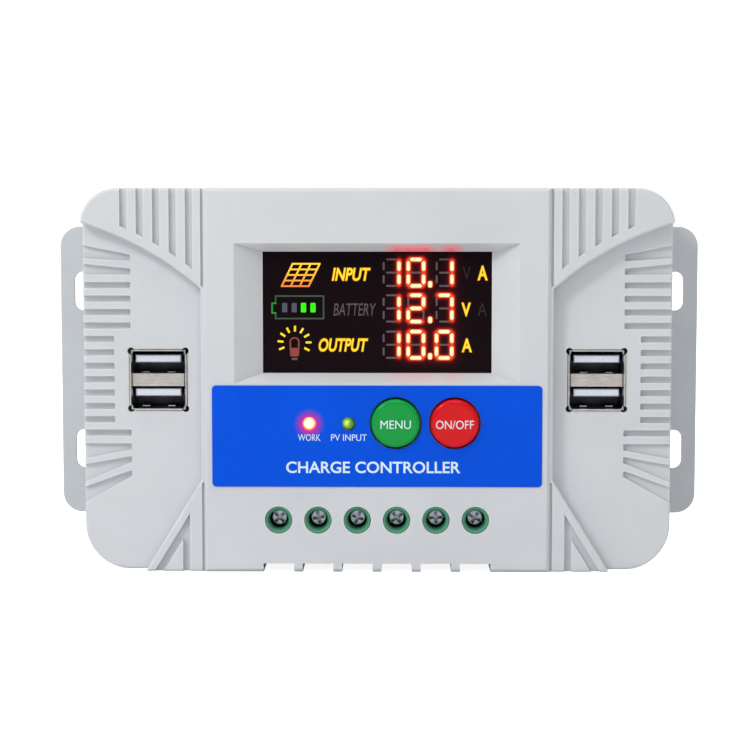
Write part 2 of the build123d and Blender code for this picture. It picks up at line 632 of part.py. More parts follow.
def terminal_screw(x, angle):
    """A captive screw: slotted cross head, shank and a rounded tip on the contact bar."""
    tip = BAR_FRONT + 0.08
    head = rod(0, 0, SCREW_HEAD_D, SCREW_HEAD_REAR, SCREW_HEAD_FRONT)
    head = fillet(front_edges(head, SCREW_HEAD_FRONT), 0.45)
    shank = rod(0, 0, SCREW_D, tip + 0.6, SCREW_HEAD_REAR + 0.1)
    shank += cone(0, 0, SCREW_D - 1.0, SCREW_D, tip, tip + 0.6)
    floor = SCREW_HEAD_FRONT - 1.2
    cross = box(0, 0, 2.9, 0.75, floor, BEYOND) + box(0, 0, 0.75, 2.9, floor, BEYOND)
    slot = box(0, 0, SCREW_HEAD_D + 1, 0.6, SCREW_HEAD_FRONT - 0.6, BEYOND)
    return Pos(x, 0, TERMINAL_Z) * Rot(0, angle, 0) * (head + shank - cross - slot)


def wire_clamp(x):
    """The rising frame that the screw draws forward to pinch a wire against the bar."""
    clamp = box(x, TERMINAL_Z, CLAMP_W, CLAMP_H, CLAMP_REAR, CLAMP_FRONT)
    inner_rear, inner_front = CLAMP_REAR + CLAMP_FLOOR, CLAMP_FRONT - CLAMP_TOP
    clamp -= box(x, TERMINAL_Z, CLAMP_W - 2 * CLAMP_SIDE, CLAMP_H + 1, inner_rear, inner_front)
    for i in range(-2, 3):
        clamp -= box(x, TERMINAL_Z + i * 1.4, CLAMP_W - 2.6, 0.4, inner_rear - 0.25, inner_rear)
    return clamp - rod(x, TERMINAL_Z, SCREW_D + 0.12, inner_front - 1, BEYOND)


def contact_bar(x):
    """The fixed bar inside a clamp, with a tail down through the main board."""
    rear_z, front_z = TERMINAL_Z - 3.6, BAR_TAIL_Z + 0.45
    bar = box(x, (rear_z + front_z) / 2, BAR_W, front_z - rear_z, BAR_REAR, BAR_FRONT)
    return bar + box(x, BAR_TAIL_Z, 2.4, 0.9, BOARD_REAR - 1.4, BAR_FRONT)


def usb_shell(x):
    """The folded steel shell of two stacked ports, flared at the mouth."""
    rear, lip_rear = BOARD_FRONT + 0.2, USB_FRONT - USB_LIP_LENGTH
    inner_w, inner_h = USB_W - 2 * USB_SHEET, USB_H - 2 * USB_SHEET
    shell = box(x, USB_Z, USB_W, USB_H, rear, lip_rear)
    shell -= box(x, USB_Z, inner_w, inner_h, rear + USB_SHEET, lip_rear)
    lip = taper(x, USB_Z, (USB_W, USB_H), (USB_LIP_W, USB_LIP_H), lip_rear, USB_FRONT)
    lip -= taper(
        x, USB_Z, (inner_w, inner_h),
        (USB_LIP_W - 2 * USB_SHEET, USB_LIP_H - 2 * USB_SHEET), lip_rear, USB_FRONT,
    )
    for cx, cz in four_corners(USB_LIP_W / 2, USB_LIP_H / 2):
        lip -= box(x + cx, USB_Z + cz, 2.2, 2.2, lip_rear, USB_FRONT)
    shell += lip
    shell += usb_bridge(x, inner_w)
    for port in (-1, 1):
        floor = USB_Z + port * USB_PORT_PITCH / 2 - USB_PORT_H / 2
        for side in (-1, 1):
            shell += contact_finger(x + side * 3.1, floor)
    for side in (-1, 1):
        for z in (-4.5, 4.5):
            leg = box(x + side * (USB_W - USB_SHEET) / 2, USB_Z + z, USB_SHEET, 2.0,
                      BOARD_FRONT + 0.02, rear + 1)
            shell += leg
    return shell


def usb_bridge(x, width):
    """The folded strip that closes the gap between the two ports."""
    tall = USB_PORT_PITCH - USB_PORT_H
    front, rear = USB_FRONT - 0.5, USB_CORE_FRONT + 0.3
    bridge = box(x, USB_Z, width, tall, rear, front)
    return bridge - box(x, USB_Z, width, tall - 2 * USB_SHEET, rear, front - USB_SHEET)


def contact_finger(x, floor_z):
    """A sprung tongue that rises from a port's floor and turns down again at its tip."""
    root, crest, tip = USB_CORE_FRONT + 1.2, USB_FRONT - 3.6, USB_FRONT - 1.6
    profile = [(-root, -0.25), (-crest, 0.55), (-tip, 0.1), (-tip, 0.35), (-crest, 0.8), (-root, 0.0)]
    side = Plane((x - 0.9, 0, floor_z), x_dir=(0, 1, 0), z_dir=(1, 0, 0))
    return extrude(side * polygon(*profile), amount=1.8)


def usb_insulator(x):
    """The white moulding: a rear block with the two tongues."""
    inner_w, inner_h = USB_W - 2 * USB_SHEET - 0.1, USB_H - 2 * USB_SHEET - 0.1
    part = box(x, USB_Z, inner_w, inner_h, BOARD_FRONT + 0.2 + USB_SHEET + 0.05, USB_CORE_FRONT)
    for port in (-1, 1):
        z = USB_Z + port * USB_PORT_PITCH / 2 + TONGUE_LIFT
        tongue = box(x, z, TONGUE_W, TONGUE_T, USB_CORE_FRONT - 1, TONGUE_FRONT)
        part += chamfer(front_edges(tongue, TONGUE_FRONT), 0.25)
        for cx in USB_CONTACT_XS:
            low = z - TONGUE_T / 2
            part -= box(x + cx, low + 0.15, 1.25, 0.7, USB_CORE_FRONT, TONGUE_FRONT - 0.8)
    return part


def usb_contacts(x):
    """Four sprung strips under each tongue, and their tails through the board."""
    strips = []
    for port in (-1, 1):
        low = USB_Z + port * USB_PORT_PITCH / 2 + TONGUE_LIFT - TONGUE_T / 2
        for cx in USB_CONTACT_XS:
            strips.append(box(x + cx, low + 0.2, 1.0, 0.25, USB_CORE_FRONT, TONGUE_FRONT - 1.2))
    return group([*strips, usb_contact_tails(x)])


def usb_contact_tails(x):
    tails = []
    for port in (-1, 1):
        for cx in USB_CONTACT_XS:
            z = USB_Z + port * 2.6
            tails.append(box(x + cx, z, 0.6, 0.6, BOARD_REAR - 1.2, BOARD_FRONT + 0.15))
    return group(tails)


def heat_spreader():
    """The aluminium bar that carries the transistors' heat to the mounting plate."""
    bar = box(0, SPREADER_Z, SPREADER_W, SPREADER_H, PLATE_T, SPREADER_FRONT)
    for x in MOSFET_XS:
        bar -= rod(x, SPREADER_Z + TAB_HOLE_RISE, 3.1, PLATE_T + 1, BEYOND)
    for sx in (-1, 1):
        bar -= rod(sx * SPREADER_SCREW_X, SPREADER_Z, 3.1, 0, BEYOND)
    return bar


def insulating_pad():
    pad = box(0, SPREADER_Z, 2 * MOSFET_XS[-1] + 11.0, SPREADER_H - 1, SPREADER_FRONT,
              SPREADER_FRONT + PAD_T)
    for x in MOSFET_XS:
        pad -= rod(x, SPREADER_Z + TAB_HOLE_RISE, 3.3, 0, BEYOND)
    return pad


def mosfet_tabs():
    rear = SPREADER_FRONT + PAD_T
    tabs = []
    for x in MOSFET_XS:
        tab = box(x, SPREADER_Z + 0.6, MOSFET_W, MOSFET_BODY_H + TAB_H - 1.2, rear, rear + TAB_T)
        tabs.append(tab - rod(x, SPREADER_Z + TAB_HOLE_RISE, 3.4, 0, BEYOND))
    return group(tabs)


def mosfet_bodies():
    rear = SPREADER_FRONT + PAD_T + TAB_T
    z = SPREADER_Z - 2.7
    bodies = []
    for x in MOSFET_XS:
        body = box(x, z, MOSFET_W, MOSFET_BODY_H, rear, rear + MOSFET_T - TAB_T)
        bodies.append(chamfer(front_edges(body, rear + MOSFET_T - TAB_T), 0.3))
    return group(bodies)


def mosfet_leads():
    depth = SPREADER_FRONT + PAD_T + TAB_T + 1.0
    start = SPREADER_Z - 2.7 - MOSFET_BODY_H / 2
    leads = []
    for x in MOSFET_XS:
        for side in (-PIN_PITCH, 0, PIN_PITCH):
            run = box(x + side, start - 0.9, 0.7, 1.8, depth, depth + 0.5)
            rise = box(x + side, start - 1.5, 0.7, 0.6, depth, BOARD_FRONT + 0.8)
            leads.append(run + rise)
    return group(leads)


def mosfet_screws():
    head_rear = SPREADER_FRONT + PAD_T + TAB_T
    return group(
        pan_head_screw(x, SPREADER_Z + TAB_HOLE_RISE, 2.9, 4.6, head_rear, 1.6, PLATE_T + 1.4)
        for x in MOSFET_XS
    )


def capacitors():
    """Upright cans with a rolled groove near the foot and a pressed top."""
    cans = []
    for x, z in CAPACITOR_XZS:
        top = BOARD_FRONT + 13.0
        can = rod(x, z, CAPACITOR_D, BOARD_FRONT, top)
        can = fillet(can.edges().filter_by(GeomType.CIRCLE), 0.6)
        ring = rod(x, z, CAPACITOR_D + 2, BOARD_FRONT + 1.6, BOARD_FRONT + 2.4)
        can -= ring - rod(x, z, CAPACITOR_D - 0.8, BOARD_FRONT, top)
        can -= box(x, z, 7.5, 0.35, top - 0.2, top) + box(x, z, 0.35, 7.5, top - 0.2, top)
        cans.append(can)
    return group(cans)


def inductor_core(x, z):
    rear = BOARD_FRONT + WIRE_D + 0.2
    ring = rod(x, z, 2 * CORE_OUTER, rear, rear + CORE_T)
    return ring - rod(x, z, 2 * CORE_INNER, rear, rear + CORE_T)


def inductor_winding(x, z):
    """Separate square-section turns round the core."""
    rear = BOARD_FRONT + 0.2
    front = rear + CORE_T + 2 * WIRE_D
    inner, outer = CORE_INNER - WIRE_D, CORE_OUTER + WIRE_D
    middle, wide = (inner + outer) / 2, outer - inner
    turn = box(middle, 0, wide, WIRE_D * 0.85, rear, front)
    turn -= box((CORE_INNER + CORE_OUTER) / 2, 0, CORE_OUTER - CORE_INNER + 0.12, 5,
                rear + WIRE_D - 0.02, front - WIRE_D + 0.02)
    step = 360 / (CORE_TURNS + 2)
    turns = [Pos(x, 0, z) * Rot(0, i * step, 0) * turn for i in range(CORE_TURNS)]
    return group(turns)


def chips():
    """Moulded chips on the front of the main board."""
    places = [(-14.0, 4.0, 9.0, 9.0, 1.4), (12.0, 6.0, 5.0, 4.0, 1.5), (24.0, 6.0, 5.0, 4.0, 1.5),
              (-30.0, 6.0, 5.0, 4.0, 1.5)]
    made = []
    for x, z, wide, tall, thick in places:
        chip = box(x, z, wide, tall, BOARD_FRONT + 0.1, BOARD_FRONT + 0.1 + thick)
        chip = chamfer(front_edges(chip, BOARD_FRONT + 0.1 + thick), 0.25)
        made.append(chip)
    return group(made)


def shunt_resistors():
    """Bent strips of resistance alloy across the current path."""
    made = []
    for x in (-9.0, 0.0, 9.0):
        strip = box(x, -18.0, 2.4, 9.0, BOARD_FRONT, BOARD_FRONT + 3.6)
        made.append(strip - box(x, -18.0, 3.0, 7.4, BOARD_FRONT - 1, BOARD_FRONT + 2.8))
    return group(made)


def power_relay():
    body = box(25.5, -14.0, 15.0, 12.0, BOARD_FRONT + 0.05, BOARD_FRONT + 6.2)
    return fillet(front_edges(body, BOARD_FRONT + 6.2), 0.5)


def case_screws():
    return group(
        flat_head_screw(x, z, CASE_SCREW_D, COVER_FRONT + 12) for x, z in four_corners(*CASE_SCREW_XZ)
    )


def spreader_screws():
    return group(
        flat_head_screw(sx * SPREADER_SCREW_X, SPREADER_Z, 3.0, SPREADER_FRONT - 1.2)
        for sx in (-1, 1)
    )


def build():
    """Every node by name."""
    nodes = {
        "front_housing": front_housing(),
        "rear_cover": rear_cover(),
        "mounting_plate": mounting_plate(),
        "case_screws": case_screws(),
        "label_overlay": label_overlay(),
        "display_module": display_module(),
        "display_film": display_film(),
        "display_pins": display_pins(),
        "display_board": display_board(),
        "display_board_screws": display_board_screws(),
        "work_led": indicator_led(LED_XS["work"]),
        "solar_led": indicator_led(LED_XS["solar"]),
        "led_spacers": led_spacers(),
        "led_leads": led_leads(),
        "main_board": main_board(),
        "main_board_screws": main_board_screws(),
        "header_pins": header_pins(),
        "header_base": header_part(BOARD_FRONT, BOARD_FRONT + 2.5, 2.5),
        "header_socket": header_part(BOARD_FRONT + 2.6, DISPLAY_BOARD_REAR, 2.6),
        "terminal_block": group(terminal_module(x) for x in POLE_XS),
        "contact_bars": group(contact_bar(x) for x in POLE_XS),
        "heat_spreader": heat_spreader(),
        "spreader_screws": spreader_screws(),
        "insulating_pad": insulating_pad(),
        "mosfet_tabs": mosfet_tabs(),
        "mosfet_bodies": mosfet_bodies(),
        "mosfet_leads": mosfet_leads(),
        "mosfet_screws": mosfet_screws(),
        "capacitors": capacitors(),
        "inductor_cores": group(inductor_core(*xz) for xz in INDUCTOR_XZS),
        "inductor_windings": group(inductor_winding(*xz) for xz in INDUCTOR_XZS),
        "chips": chips(),
        "shunt_resistors": shunt_resistors(),
        "power_relay": power_relay(),
        "switch_bodies": group(switch_body(x) for x in BUTTON_XS.values()),
        "switch_tops": group(switch_top(x) for x in BUTTON_XS.values()),
        "switch_domes": group(switch_dome(x) for x in BUTTON_XS.values()),
    }
    for name, x in BUTTON_XS.items():
        nodes[f"{name}_button"] = button_cap(x)
        nodes[f"{name}_plunger"] = switch_plunger(x)
    for side, x in (("left", -USB_X), ("right", USB_X)):
        nodes[f"usb_shell_{side}"] = usb_shell(x)
        nodes[f"usb_insulator_{side}"] = usb_insulator(x)
        nodes[f"usb_contacts_{side}"] = usb_contacts(x)
    for number, x in enumerate(POLE_XS, 1):
        nodes[f"terminal_screw_{number}"] = terminal_screw(x, SCREW_FIRST_ANGLE + number * SCREW_ANGLE_STEP)
        nodes[f"wire_clamp_{number}"] = wire_clamp(x)
    return nodes


os.makedirs("parts", exist_ok=True)
for node, shape in build().items():
    export_step(shape, f"parts/{node}.step")
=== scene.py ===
"""The looks of the charge controller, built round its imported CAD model.

Everything is in metres in the row frame: +X right, +Z up, and the front faces -Y.
"""

import json
import math

import bmesh
import bpy
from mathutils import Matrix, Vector


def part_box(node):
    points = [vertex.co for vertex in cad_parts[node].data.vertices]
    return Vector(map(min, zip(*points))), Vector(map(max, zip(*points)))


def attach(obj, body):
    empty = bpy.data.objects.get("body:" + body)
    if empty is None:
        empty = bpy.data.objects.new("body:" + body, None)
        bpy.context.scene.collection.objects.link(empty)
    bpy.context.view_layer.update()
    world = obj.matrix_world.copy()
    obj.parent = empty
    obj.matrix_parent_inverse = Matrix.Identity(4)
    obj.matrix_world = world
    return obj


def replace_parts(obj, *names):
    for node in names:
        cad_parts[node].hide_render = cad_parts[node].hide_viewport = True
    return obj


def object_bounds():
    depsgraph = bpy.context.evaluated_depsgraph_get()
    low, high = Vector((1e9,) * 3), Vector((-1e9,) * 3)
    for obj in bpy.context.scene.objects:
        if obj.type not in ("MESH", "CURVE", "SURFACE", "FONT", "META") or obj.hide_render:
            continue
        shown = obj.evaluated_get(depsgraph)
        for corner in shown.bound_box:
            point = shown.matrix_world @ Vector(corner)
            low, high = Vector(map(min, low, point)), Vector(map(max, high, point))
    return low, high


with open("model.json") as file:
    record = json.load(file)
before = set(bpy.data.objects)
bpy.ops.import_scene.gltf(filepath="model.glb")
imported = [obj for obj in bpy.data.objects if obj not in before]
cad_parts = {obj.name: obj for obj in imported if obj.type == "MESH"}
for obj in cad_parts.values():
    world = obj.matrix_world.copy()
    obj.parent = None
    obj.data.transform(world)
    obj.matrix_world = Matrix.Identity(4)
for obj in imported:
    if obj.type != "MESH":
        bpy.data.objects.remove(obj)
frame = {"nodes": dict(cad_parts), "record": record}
CAD_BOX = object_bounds()
MM = 0.001


# ---------------------------------------------------------------- places taken from the frame

def middle(node):
    """The middle of a node's box."""
    low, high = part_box(node)
    return (low + high) / 2


def front_of(node):
    """The Y of a node's foremost face."""
    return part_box(node)[0].y


HOUSING_FRONT = front_of("front_housing")
LABEL_FRONT = front_of("label_overlay")
FILM_FRONT = front_of("display_film")
DISPLAY = middle("display_film")
WORK_LED, SOLAR_LED = middle("work_led"), middle("solar_led")
MENU, POWER = middle("menu_button"), middle("power_button")
SCREWS = [middle(f"terminal_screw_{i}") for i in range(1, 7)]
USB = {side: middle(f"usb_shell_{side}") for side in ("left", "right")}
WING_STEP = 4.5 * MM
WING_FRONT = HOUSING_FRONT + WING_STEP


# ---------------------------------------------------------------- node helpers for materials

HIGHLIGHT_REACH = 0.35    # how far a painted edge highlight reaches, against the painted shade in a crevice


class Maker:
    """A material being put together: one Principled shader and the nodes that feed it."""

    def __init__(self, name, color, roughness=0.5, metallic=0.0):
        self.material = bpy.data.materials.new(name)
        self.material.use_nodes = True
        self.tree = self.material.node_tree
        self.shader = self.tree.nodes["Principled BSDF"]
        self.set("Base Color", (*color, 1.0))
        self.set("Roughness", roughness)
        self.set("Metallic", metallic)
        self.color = color
        self.place = self.node("ShaderNodeTexCoord").outputs["Object"]

    def node(self, kind, **values):
        made = self.tree.nodes.new(kind)
        for key, value in values.items():
            setattr(made, key, value)
        return made

    def link(self, source, target):
        self.tree.links.new(source, target)

    def set(self, socket, value):
        self.shader.inputs[socket].default_value = value

    def drive(self, socket, source):
        """Feeds one of the shader's own sockets from a node."""
        self.link(source, self.shader.inputs[socket])

    def base(self):
        """What colours the surface so far: a socket, or the plain colour."""
        socket = self.shader.inputs["Base Color"]
        return socket.links[0].from_socket if socket.links else self.color

    def stretched(self, scale):
        """The object's coordinates, scaled along each axis."""
        mapping = self.node("ShaderNodeMapping")
        mapping.inputs["Scale"].default_value = scale
        self.link(self.place, mapping.inputs["Vector"])
        return mapping.outputs["Vector"]

    def noise(self, scale, detail=3.0, roughness=0.55, vector=None):
        made = self.node("ShaderNodeTexNoise")
        made.inputs["Scale"].default_value = scale
        made.inputs["Detail"].default_value = detail
        made.inputs["Roughness"].default_value = roughness
        self.link(vector or self.place, made.inputs["Vector"])
        return made.outputs["Fac"]

    def spread(self, factor, low, high, start=0.3, end=0.7):
        """A factor between two values, remapped to a new range."""
        made = self.node("ShaderNodeMapRange")
        made.inputs["From Min"].default_value = start
        made.inputs["From Max"].default_value = end
        made.inputs["To Min"].default_value = low
        made.inputs["To Max"].default_value = high
        self.link(factor, made.inputs["Value"])
        return made.outputs["Result"]

    def mix(self, factor, a, b):
        """A mix of two colours; each is a colour or a socket."""
        made = self.node("ShaderNodeMix", data_type="RGBA")
        self.feed(factor, made.inputs["Factor"])
        self.feed(a, made.inputs["A"])
        self.feed(b, made.inputs["B"])
        return made.outputs["Result"]

    def feed(self, value, socket):
        if isinstance(value, bpy.types.NodeSocket):
            self.link(value, socket)
        elif isinstance(value, (int, float)):
            socket.default_value = value
        else:
            socket.default_value = (*value, 1.0) if len(value) == 3 else value

    def math(self, operation, a, b=0.0):
        made = self.node("ShaderNodeMath", operation=operation)
        self.feed(a, made.inputs[0])
        self.feed(b, made.inputs[1])
        return made.outputs[0]

    def tint(self, amount, scale, detail=4.0):
        """Slight light and dark patches in the base colour."""
        dark = tuple(c * (1 - amount) for c in self.color)
        light = tuple(min(1.0, c * (1 + amount)) for c in self.color)
        factor = self.spread(self.noise(scale, detail), 0.0, 1.0)
        self.drive("Base Color", self.mix(factor, dark, light))

    def gloss(self, low, high, scale, detail=3.0, vector=None):
        """Roughness that wanders between two values."""
        factor = self.spread(self.noise(scale, detail, vector=vector), low, high)
        self.drive("Roughness", factor)

    def relief(self, scale, depth, detail=2.0, vector=None, edge=0.0):
        """Fine surface relief, on edges softened by a small radius."""
        bump = self.node("ShaderNodeBump")
        bump.inputs["Strength"].default_value = 1.0
        bump.inputs["Distance"].default_value = depth
        self.link(self.noise(scale, detail, vector=vector), bump.inputs["Height"])
        if edge:
            bevel = self.node("ShaderNodeBevel", samples=6)
            bevel.inputs["Radius"].default_value = edge
            self.link(bevel.outputs["Normal"], bump.inputs["Normal"])
        self.drive("Normal", bump.outputs["Normal"])

    def tone(self, reach, painted_shade_color, edge=None):
        """Painted shade that darkens crevices, and painted highlights that lighten edges where a
        colour for them is given.
        """
        color = self.base()
        if edge:
            # painted highlight: convex edges, found by an inside AO, are lightened toward the given
            # colour
            rim = self.node("ShaderNodeAmbientOcclusion", samples=6, inside=True)
            rim.inputs["Distance"].default_value = HIGHLIGHT_REACH * reach
            painted_highlight_mask = self.spread(rim.outputs["AO"], 1.0, 0.0, start=0.35, end=0.75)
            color = self.mix(painted_highlight_mask, color, edge)
        # painted shade: crevices and recesses, found by AO, are darkened toward the shade colour
        shade_occlusion = self.node("ShaderNodeAmbientOcclusion", samples=8)
        shade_occlusion.inputs["Distance"].default_value = reach
        painted_shade_mask = self.spread(shade_occlusion.outputs["AO"], 1.0, 0.0, start=0.2, end=0.95)
        self.drive("Base Color", self.mix(painted_shade_mask, color, painted_shade_color))

    def distance_to(self, point, scale=(1, 0, 1)):
        """Distance from a point, with each axis scaled; the default is in the XZ plane."""
        made = self.node("ShaderNodeVectorMath", operation="DISTANCE")
        self.link(self.stretched(scale), made.inputs[0])
        made.inputs[1].default_value = tuple(p * s for p, s in zip(point, scale))
        return made.outputs["Value"]

    def up_between(self, low, high):
        """From 0 to 1 between two heights."""
        parts = self.node("ShaderNodeSeparateXYZ")
        self.link(self.place, parts.inputs["Vector"])
        return self.spread(parts.outputs["Z"], 0.0, 1.0, start=low, end=high)

    def along(self, axis, start):
        """The distance along an axis from a place on it."""
        parts = self.node("ShaderNodeSeparateXYZ")
        self.link(self.place, parts.inputs["Vector"])
        return self.math("SUBTRACT", parts.outputs[axis], start)

    def ramp(self, factor, stops):
        """Colours along a factor, as (position, colour) pairs."""
        made = self.node("ShaderNodeValToRGB")
        elements = made.color_ramp.elements
        elements.remove(elements[1])
        elements[0].position = stops[0][0]
        elements[0].color = (*stops[0][1], 1.0)
        for position, color in stops[1:]:
            elements.new(position).color = (*color, 1.0)
        self.link(factor, made.inputs["Fac"])
        return made.outputs["Color"]


def moulded(name, color, rough=(0.38, 0.5), grain=2600, depth=0.012 * MM, edge=0.15 * MM):
    """Fine-grained moulded plastic."""
    m = Maker(name, color)
    m.tint(0.025, 45)
    m.gloss(*rough, 900)
    m.relief(grain, depth, edge=edge)
    m.set("Specular IOR Level", 0.4)
    return m


def printed(name, color):
    """Screen-printed ink."""
    m = moulded(name, color, depth=0.002 * MM, edge=0)
    m.set("Specular IOR Level", 0.08)
    return m


def glossy(name, color, rough=(0.14, 0.22), coat=0.25):
    """Polished moulded plastic with faint handling marks."""
    m = Maker(name, color)
    m.tint(0.04, 120)
    m.gloss(*rough, 500)
    m.relief(400, 0.006 * MM, detail=5.0, edge=0.1 * MM)
    m.set("Specular IOR Level", 0.15)
    m.set("Coat Weight", coat)
    m.set("Coat Roughness", 0.05)
    return m


def steel(name, color, rough=(0.22, 0.42), grain=(60, 900, 900), edge=0.08 * MM):
    """Plated or brushed metal: a lengthwise grain and cloudy plating."""
    m = Maker(name, color, metallic=1.0)
    m.tint(0.10, 350, detail=6.0)
    m.gloss(*rough, 6, vector=m.stretched(grain))
    m.relief(5, 0.006 * MM, vector=m.stretched(grain), edge=edge)
    return m


HOUSING_GREY = (0.70, 0.72, 0.745)


def housing_plastic():
    """Light grey moulded plastic, with the lit digits' red light painted round them.

    Each band of that painted red light has a middle X and a half width, in millimetres from the
    display's centre. It lies on the recess's walls, from the edge of the window outwards, and is
    weaker below the display than above it. The plastic also has painted shade in its crevices and
    painted highlights on its edges.
    """
    glow_bands = ((4.9, 1.1), (9.35, 3.2), (17.7, 1.1))
    soft_in, soft_out = 0.6, 2.6
    painted_glow_tint, painted_glow_strength = 0.9, 0.34
    window_edge, fade_start, fade_end = (14.60, 14.75), 15.4, 16.8
    weak, strong, middle_band = 0.22, 0.9, 5.0
    m = moulded("housing_plastic", HOUSING_GREY, rough=(0.36, 0.50), edge=0.25 * MM)
    m.set("Specular IOR Level", 0.35)
    # painted light: the lit digits' red glow on the recess walls, as bands across X that fade out
    # from the window
    painted_glow = None
    for x, half in glow_bands:
        across = m.math("ABSOLUTE", m.along("X", DISPLAY.x + x * MM))
        band = m.spread(across, 1.0, 0.0, start=(half - soft_in) * MM, end=(half + soft_out) * MM)
        painted_glow = m.math("MAXIMUM", painted_glow, band) if painted_glow else band
    rise = m.math("ABSOLUTE", m.along("Z", DISPLAY.z))
    outside = m.spread(rise, 0.0, 1.0, start=window_edge[0] * MM, end=window_edge[1] * MM)
    fade = m.spread(rise, 1.0, 0.0, start=fade_start * MM, end=fade_end * MM)
    painted_glow_amount = m.math("MULTIPLY", painted_glow, m.math("MULTIPLY", outside, fade))
    level = m.spread(m.along("Z", DISPLAY.z), weak, strong,
                     start=-middle_band * MM, end=middle_band * MM)
    painted_glow_amount = m.math("MULTIPLY", painted_glow_amount, level)
    # painted shade in the crevices and painted highlights on the edges
    m.tone(2.4 * MM, (0.61, 0.63, 0.66), edge=(0.86, 0.87, 0.88))
    plain = m.base()
    # painted red light: the glow tints the base colour and is added as emission
    m.drive("Base Color", m.mix(m.math("MULTIPLY", painted_glow_amount, painted_glow_tint), plain, (0.80, 0.13, 0.19)))
    m.set("Emission Color", (1.0, 0.05, 0.09, 1.0))
    m.drive("Emission Strength", m.math("MULTIPLY", painted_glow_amount, painted_glow_strength))
    return m


def powder_coat():
    """Powder-coated sheet metal, with its fine orange peel."""
    m = Maker("plate_coat", (0.60, 0.63, 0.66))
    m.tint(0.03, 60)
    m.gloss(0.36, 0.50, 800)
    m.relief(1100, 0.03 * MM, detail=3.0, edge=0.15 * MM)
    return m


def label_film():
    """Blue printed film, with the lit indicator's glow painted on it: a magenta tint and an
    emission that fade out from its lens.
    """
    m = Maker("label_blue", (0.0, 0.092, 0.80))
    m.tint(0.04, 70)
    m.gloss(0.30, 0.42, 1500)
    m.relief(4200, 0.006 * MM)
    m.set("Specular IOR Level", 0.10)
    lens_edge, glow_edge = 1.3 * MM, 4.0 * MM
    # painted light: the lit indicator's magenta glow, tinting the base colour and added as emission
    painted_glow_amount = m.spread(m.distance_to(WORK_LED), 1.0, 0.0, start=lens_edge, end=glow_edge)
    plain = m.base()
    m.drive("Base Color", m.mix(m.math("POWER", painted_glow_amount, 1.5), plain, (0.45, 0.0, 0.22)))
    m.drive("Emission Color", m.mix(painted_glow_amount, (0.45, 0.0, 0.15), (1.0, 0.04, 0.25)))
    m.drive("Emission Strength", m.math("MULTIPLY", m.math("POWER", painted_glow_amount, 2.4), 0.55))
    return m


def lit(name, color, strength):
    """A lit segment or icon, uneven as light through a moulded mask is."""
    m = Maker(name, tuple(c * 0.3 for c in color), roughness=0.3)
    m.set("Specular IOR Level", 0.1)
    dim = tuple(c * 0.75 for c in color)
    factor = m.spread(m.noise(900, 2.0), 0.0, 1.0)
    m.drive("Emission Color", m.mix(factor, dim, color))
    m.set("Emission Strength", strength)
    return m


def work_light():
    """A lit diffused lens: white in the middle, then yellow, and red at its rim."""
    m = Maker("work_light", (0.8, 0.3, 0.25), roughness=0.2)
    bright_spot = WORK_LED + Vector((0.0, 0.0, 0.15)) * MM
    out = m.spread(m.distance_to(bright_spot), 0.0, 1.0, start=0.0, end=1.9 * MM)
    stops = [(0.0, (1.0, 1.0, 0.92)), (0.42, (1.0, 0.96, 0.70)), (0.60, (1.0, 0.70, 0.13)),
             (0.80, (0.95, 0.13, 0.07)), (1.0, (0.75, 0.02, 0.10))]
    m.drive("Emission Color", m.ramp(out, stops))
    m.set("Emission Strength", 1.15)
    return m


def solar_light():
    """A green lens: a dim glow from behind, with a painted highlight at its upper left."""
    m = Maker("solar_light", (0.03, 0.10, 0.004), roughness=0.12)
    # painted highlight: the brightest yellow-green spot, up and to the left of the lens's middle
    bright_spot = SOLAR_LED + Vector((-0.55, 0.0, 0.3)) * MM
    out = m.spread(m.distance_to(bright_spot), 0.0, 1.0, start=0.1 * MM, end=2.3 * MM)
    stops = [(0.0, (0.85, 1.0, 0.12)), (0.18, (0.48, 0.70, 0.02)), (0.42, (0.11, 0.30, 0.01)),
             (0.75, (0.010, 0.06, 0.004)), (1.0, (0.004, 0.03, 0.004))]
    m.drive("Emission Color", m.ramp(out, stops))
    m.set("Emission Strength", 0.9)
    m.set("Coat Weight", 0.8)
    m.set("Coat Roughness", 0.04)
    return m


def display_glass():
    """Smoked glossy film; the digits' red glow in it is a colour attribute of its mesh."""
    m = Maker("film_black", (0.009, 0.004, 0.006), roughness=0.10)
    m.gloss(0.10, 0.20, 160)
    m.set("Specular IOR Level", 0.04)
    glow = m.node("ShaderNodeVertexColor", layer_name="glow").outputs["Color"]
    m.drive("Emission Color", glow)
    m.set("Emission Strength", 1.0)
    return m


def panel_light():
    """The lit panel icon: yellow at its top, orange and then red at its foot."""
    m = lit("panel_light", (1.0, 0.55, 0.03), 1.0)
    foot, top = 5.6 * MM, 11.9 * MM
    up = m.up_between(DISPLAY.z + foot, DISPLAY.z + top)
    stops = [(0.0, (0.70, 0.08, 0.04)), (0.3, (0.92, 0.22, 0.04)), (0.65, (1.0, 0.50, 0.04)),
             (1.0, (1.0, 0.70, 0.05))]
    m.drive("Emission Color", m.ramp(up, stops))
    return m


def zinc_screw():
    """Zinc-plated steel, with painted shade darkening the recess of the cross."""
    m = steel("zinc_screw", (0.46, 0.52, 0.56), rough=(0.16, 0.40), grain=(500, 500, 500))
    m.tone(1.2 * MM, (0.12, 0.14, 0.155))
    return m


def usb_nickel():
    """Nickel-plated sheet: warm at the rim and the bridge, with painted dark blue-grey shade deep
    inside.
    """
    m = steel("usb_nickel", (0.72, 0.68, 0.64), rough=(0.18, 0.34))
    m.tone(7.0 * MM, (0.10, 0.12, 0.19))
    return m


def usb_white():
    """The white moulding of a socket, with painted shade deep inside."""
    m = moulded("usb_white", (0.80, 0.84, 0.92), rough=(0.22, 0.34))
    m.tone(6.0 * MM, (0.10, 0.12, 0.21))
    return m


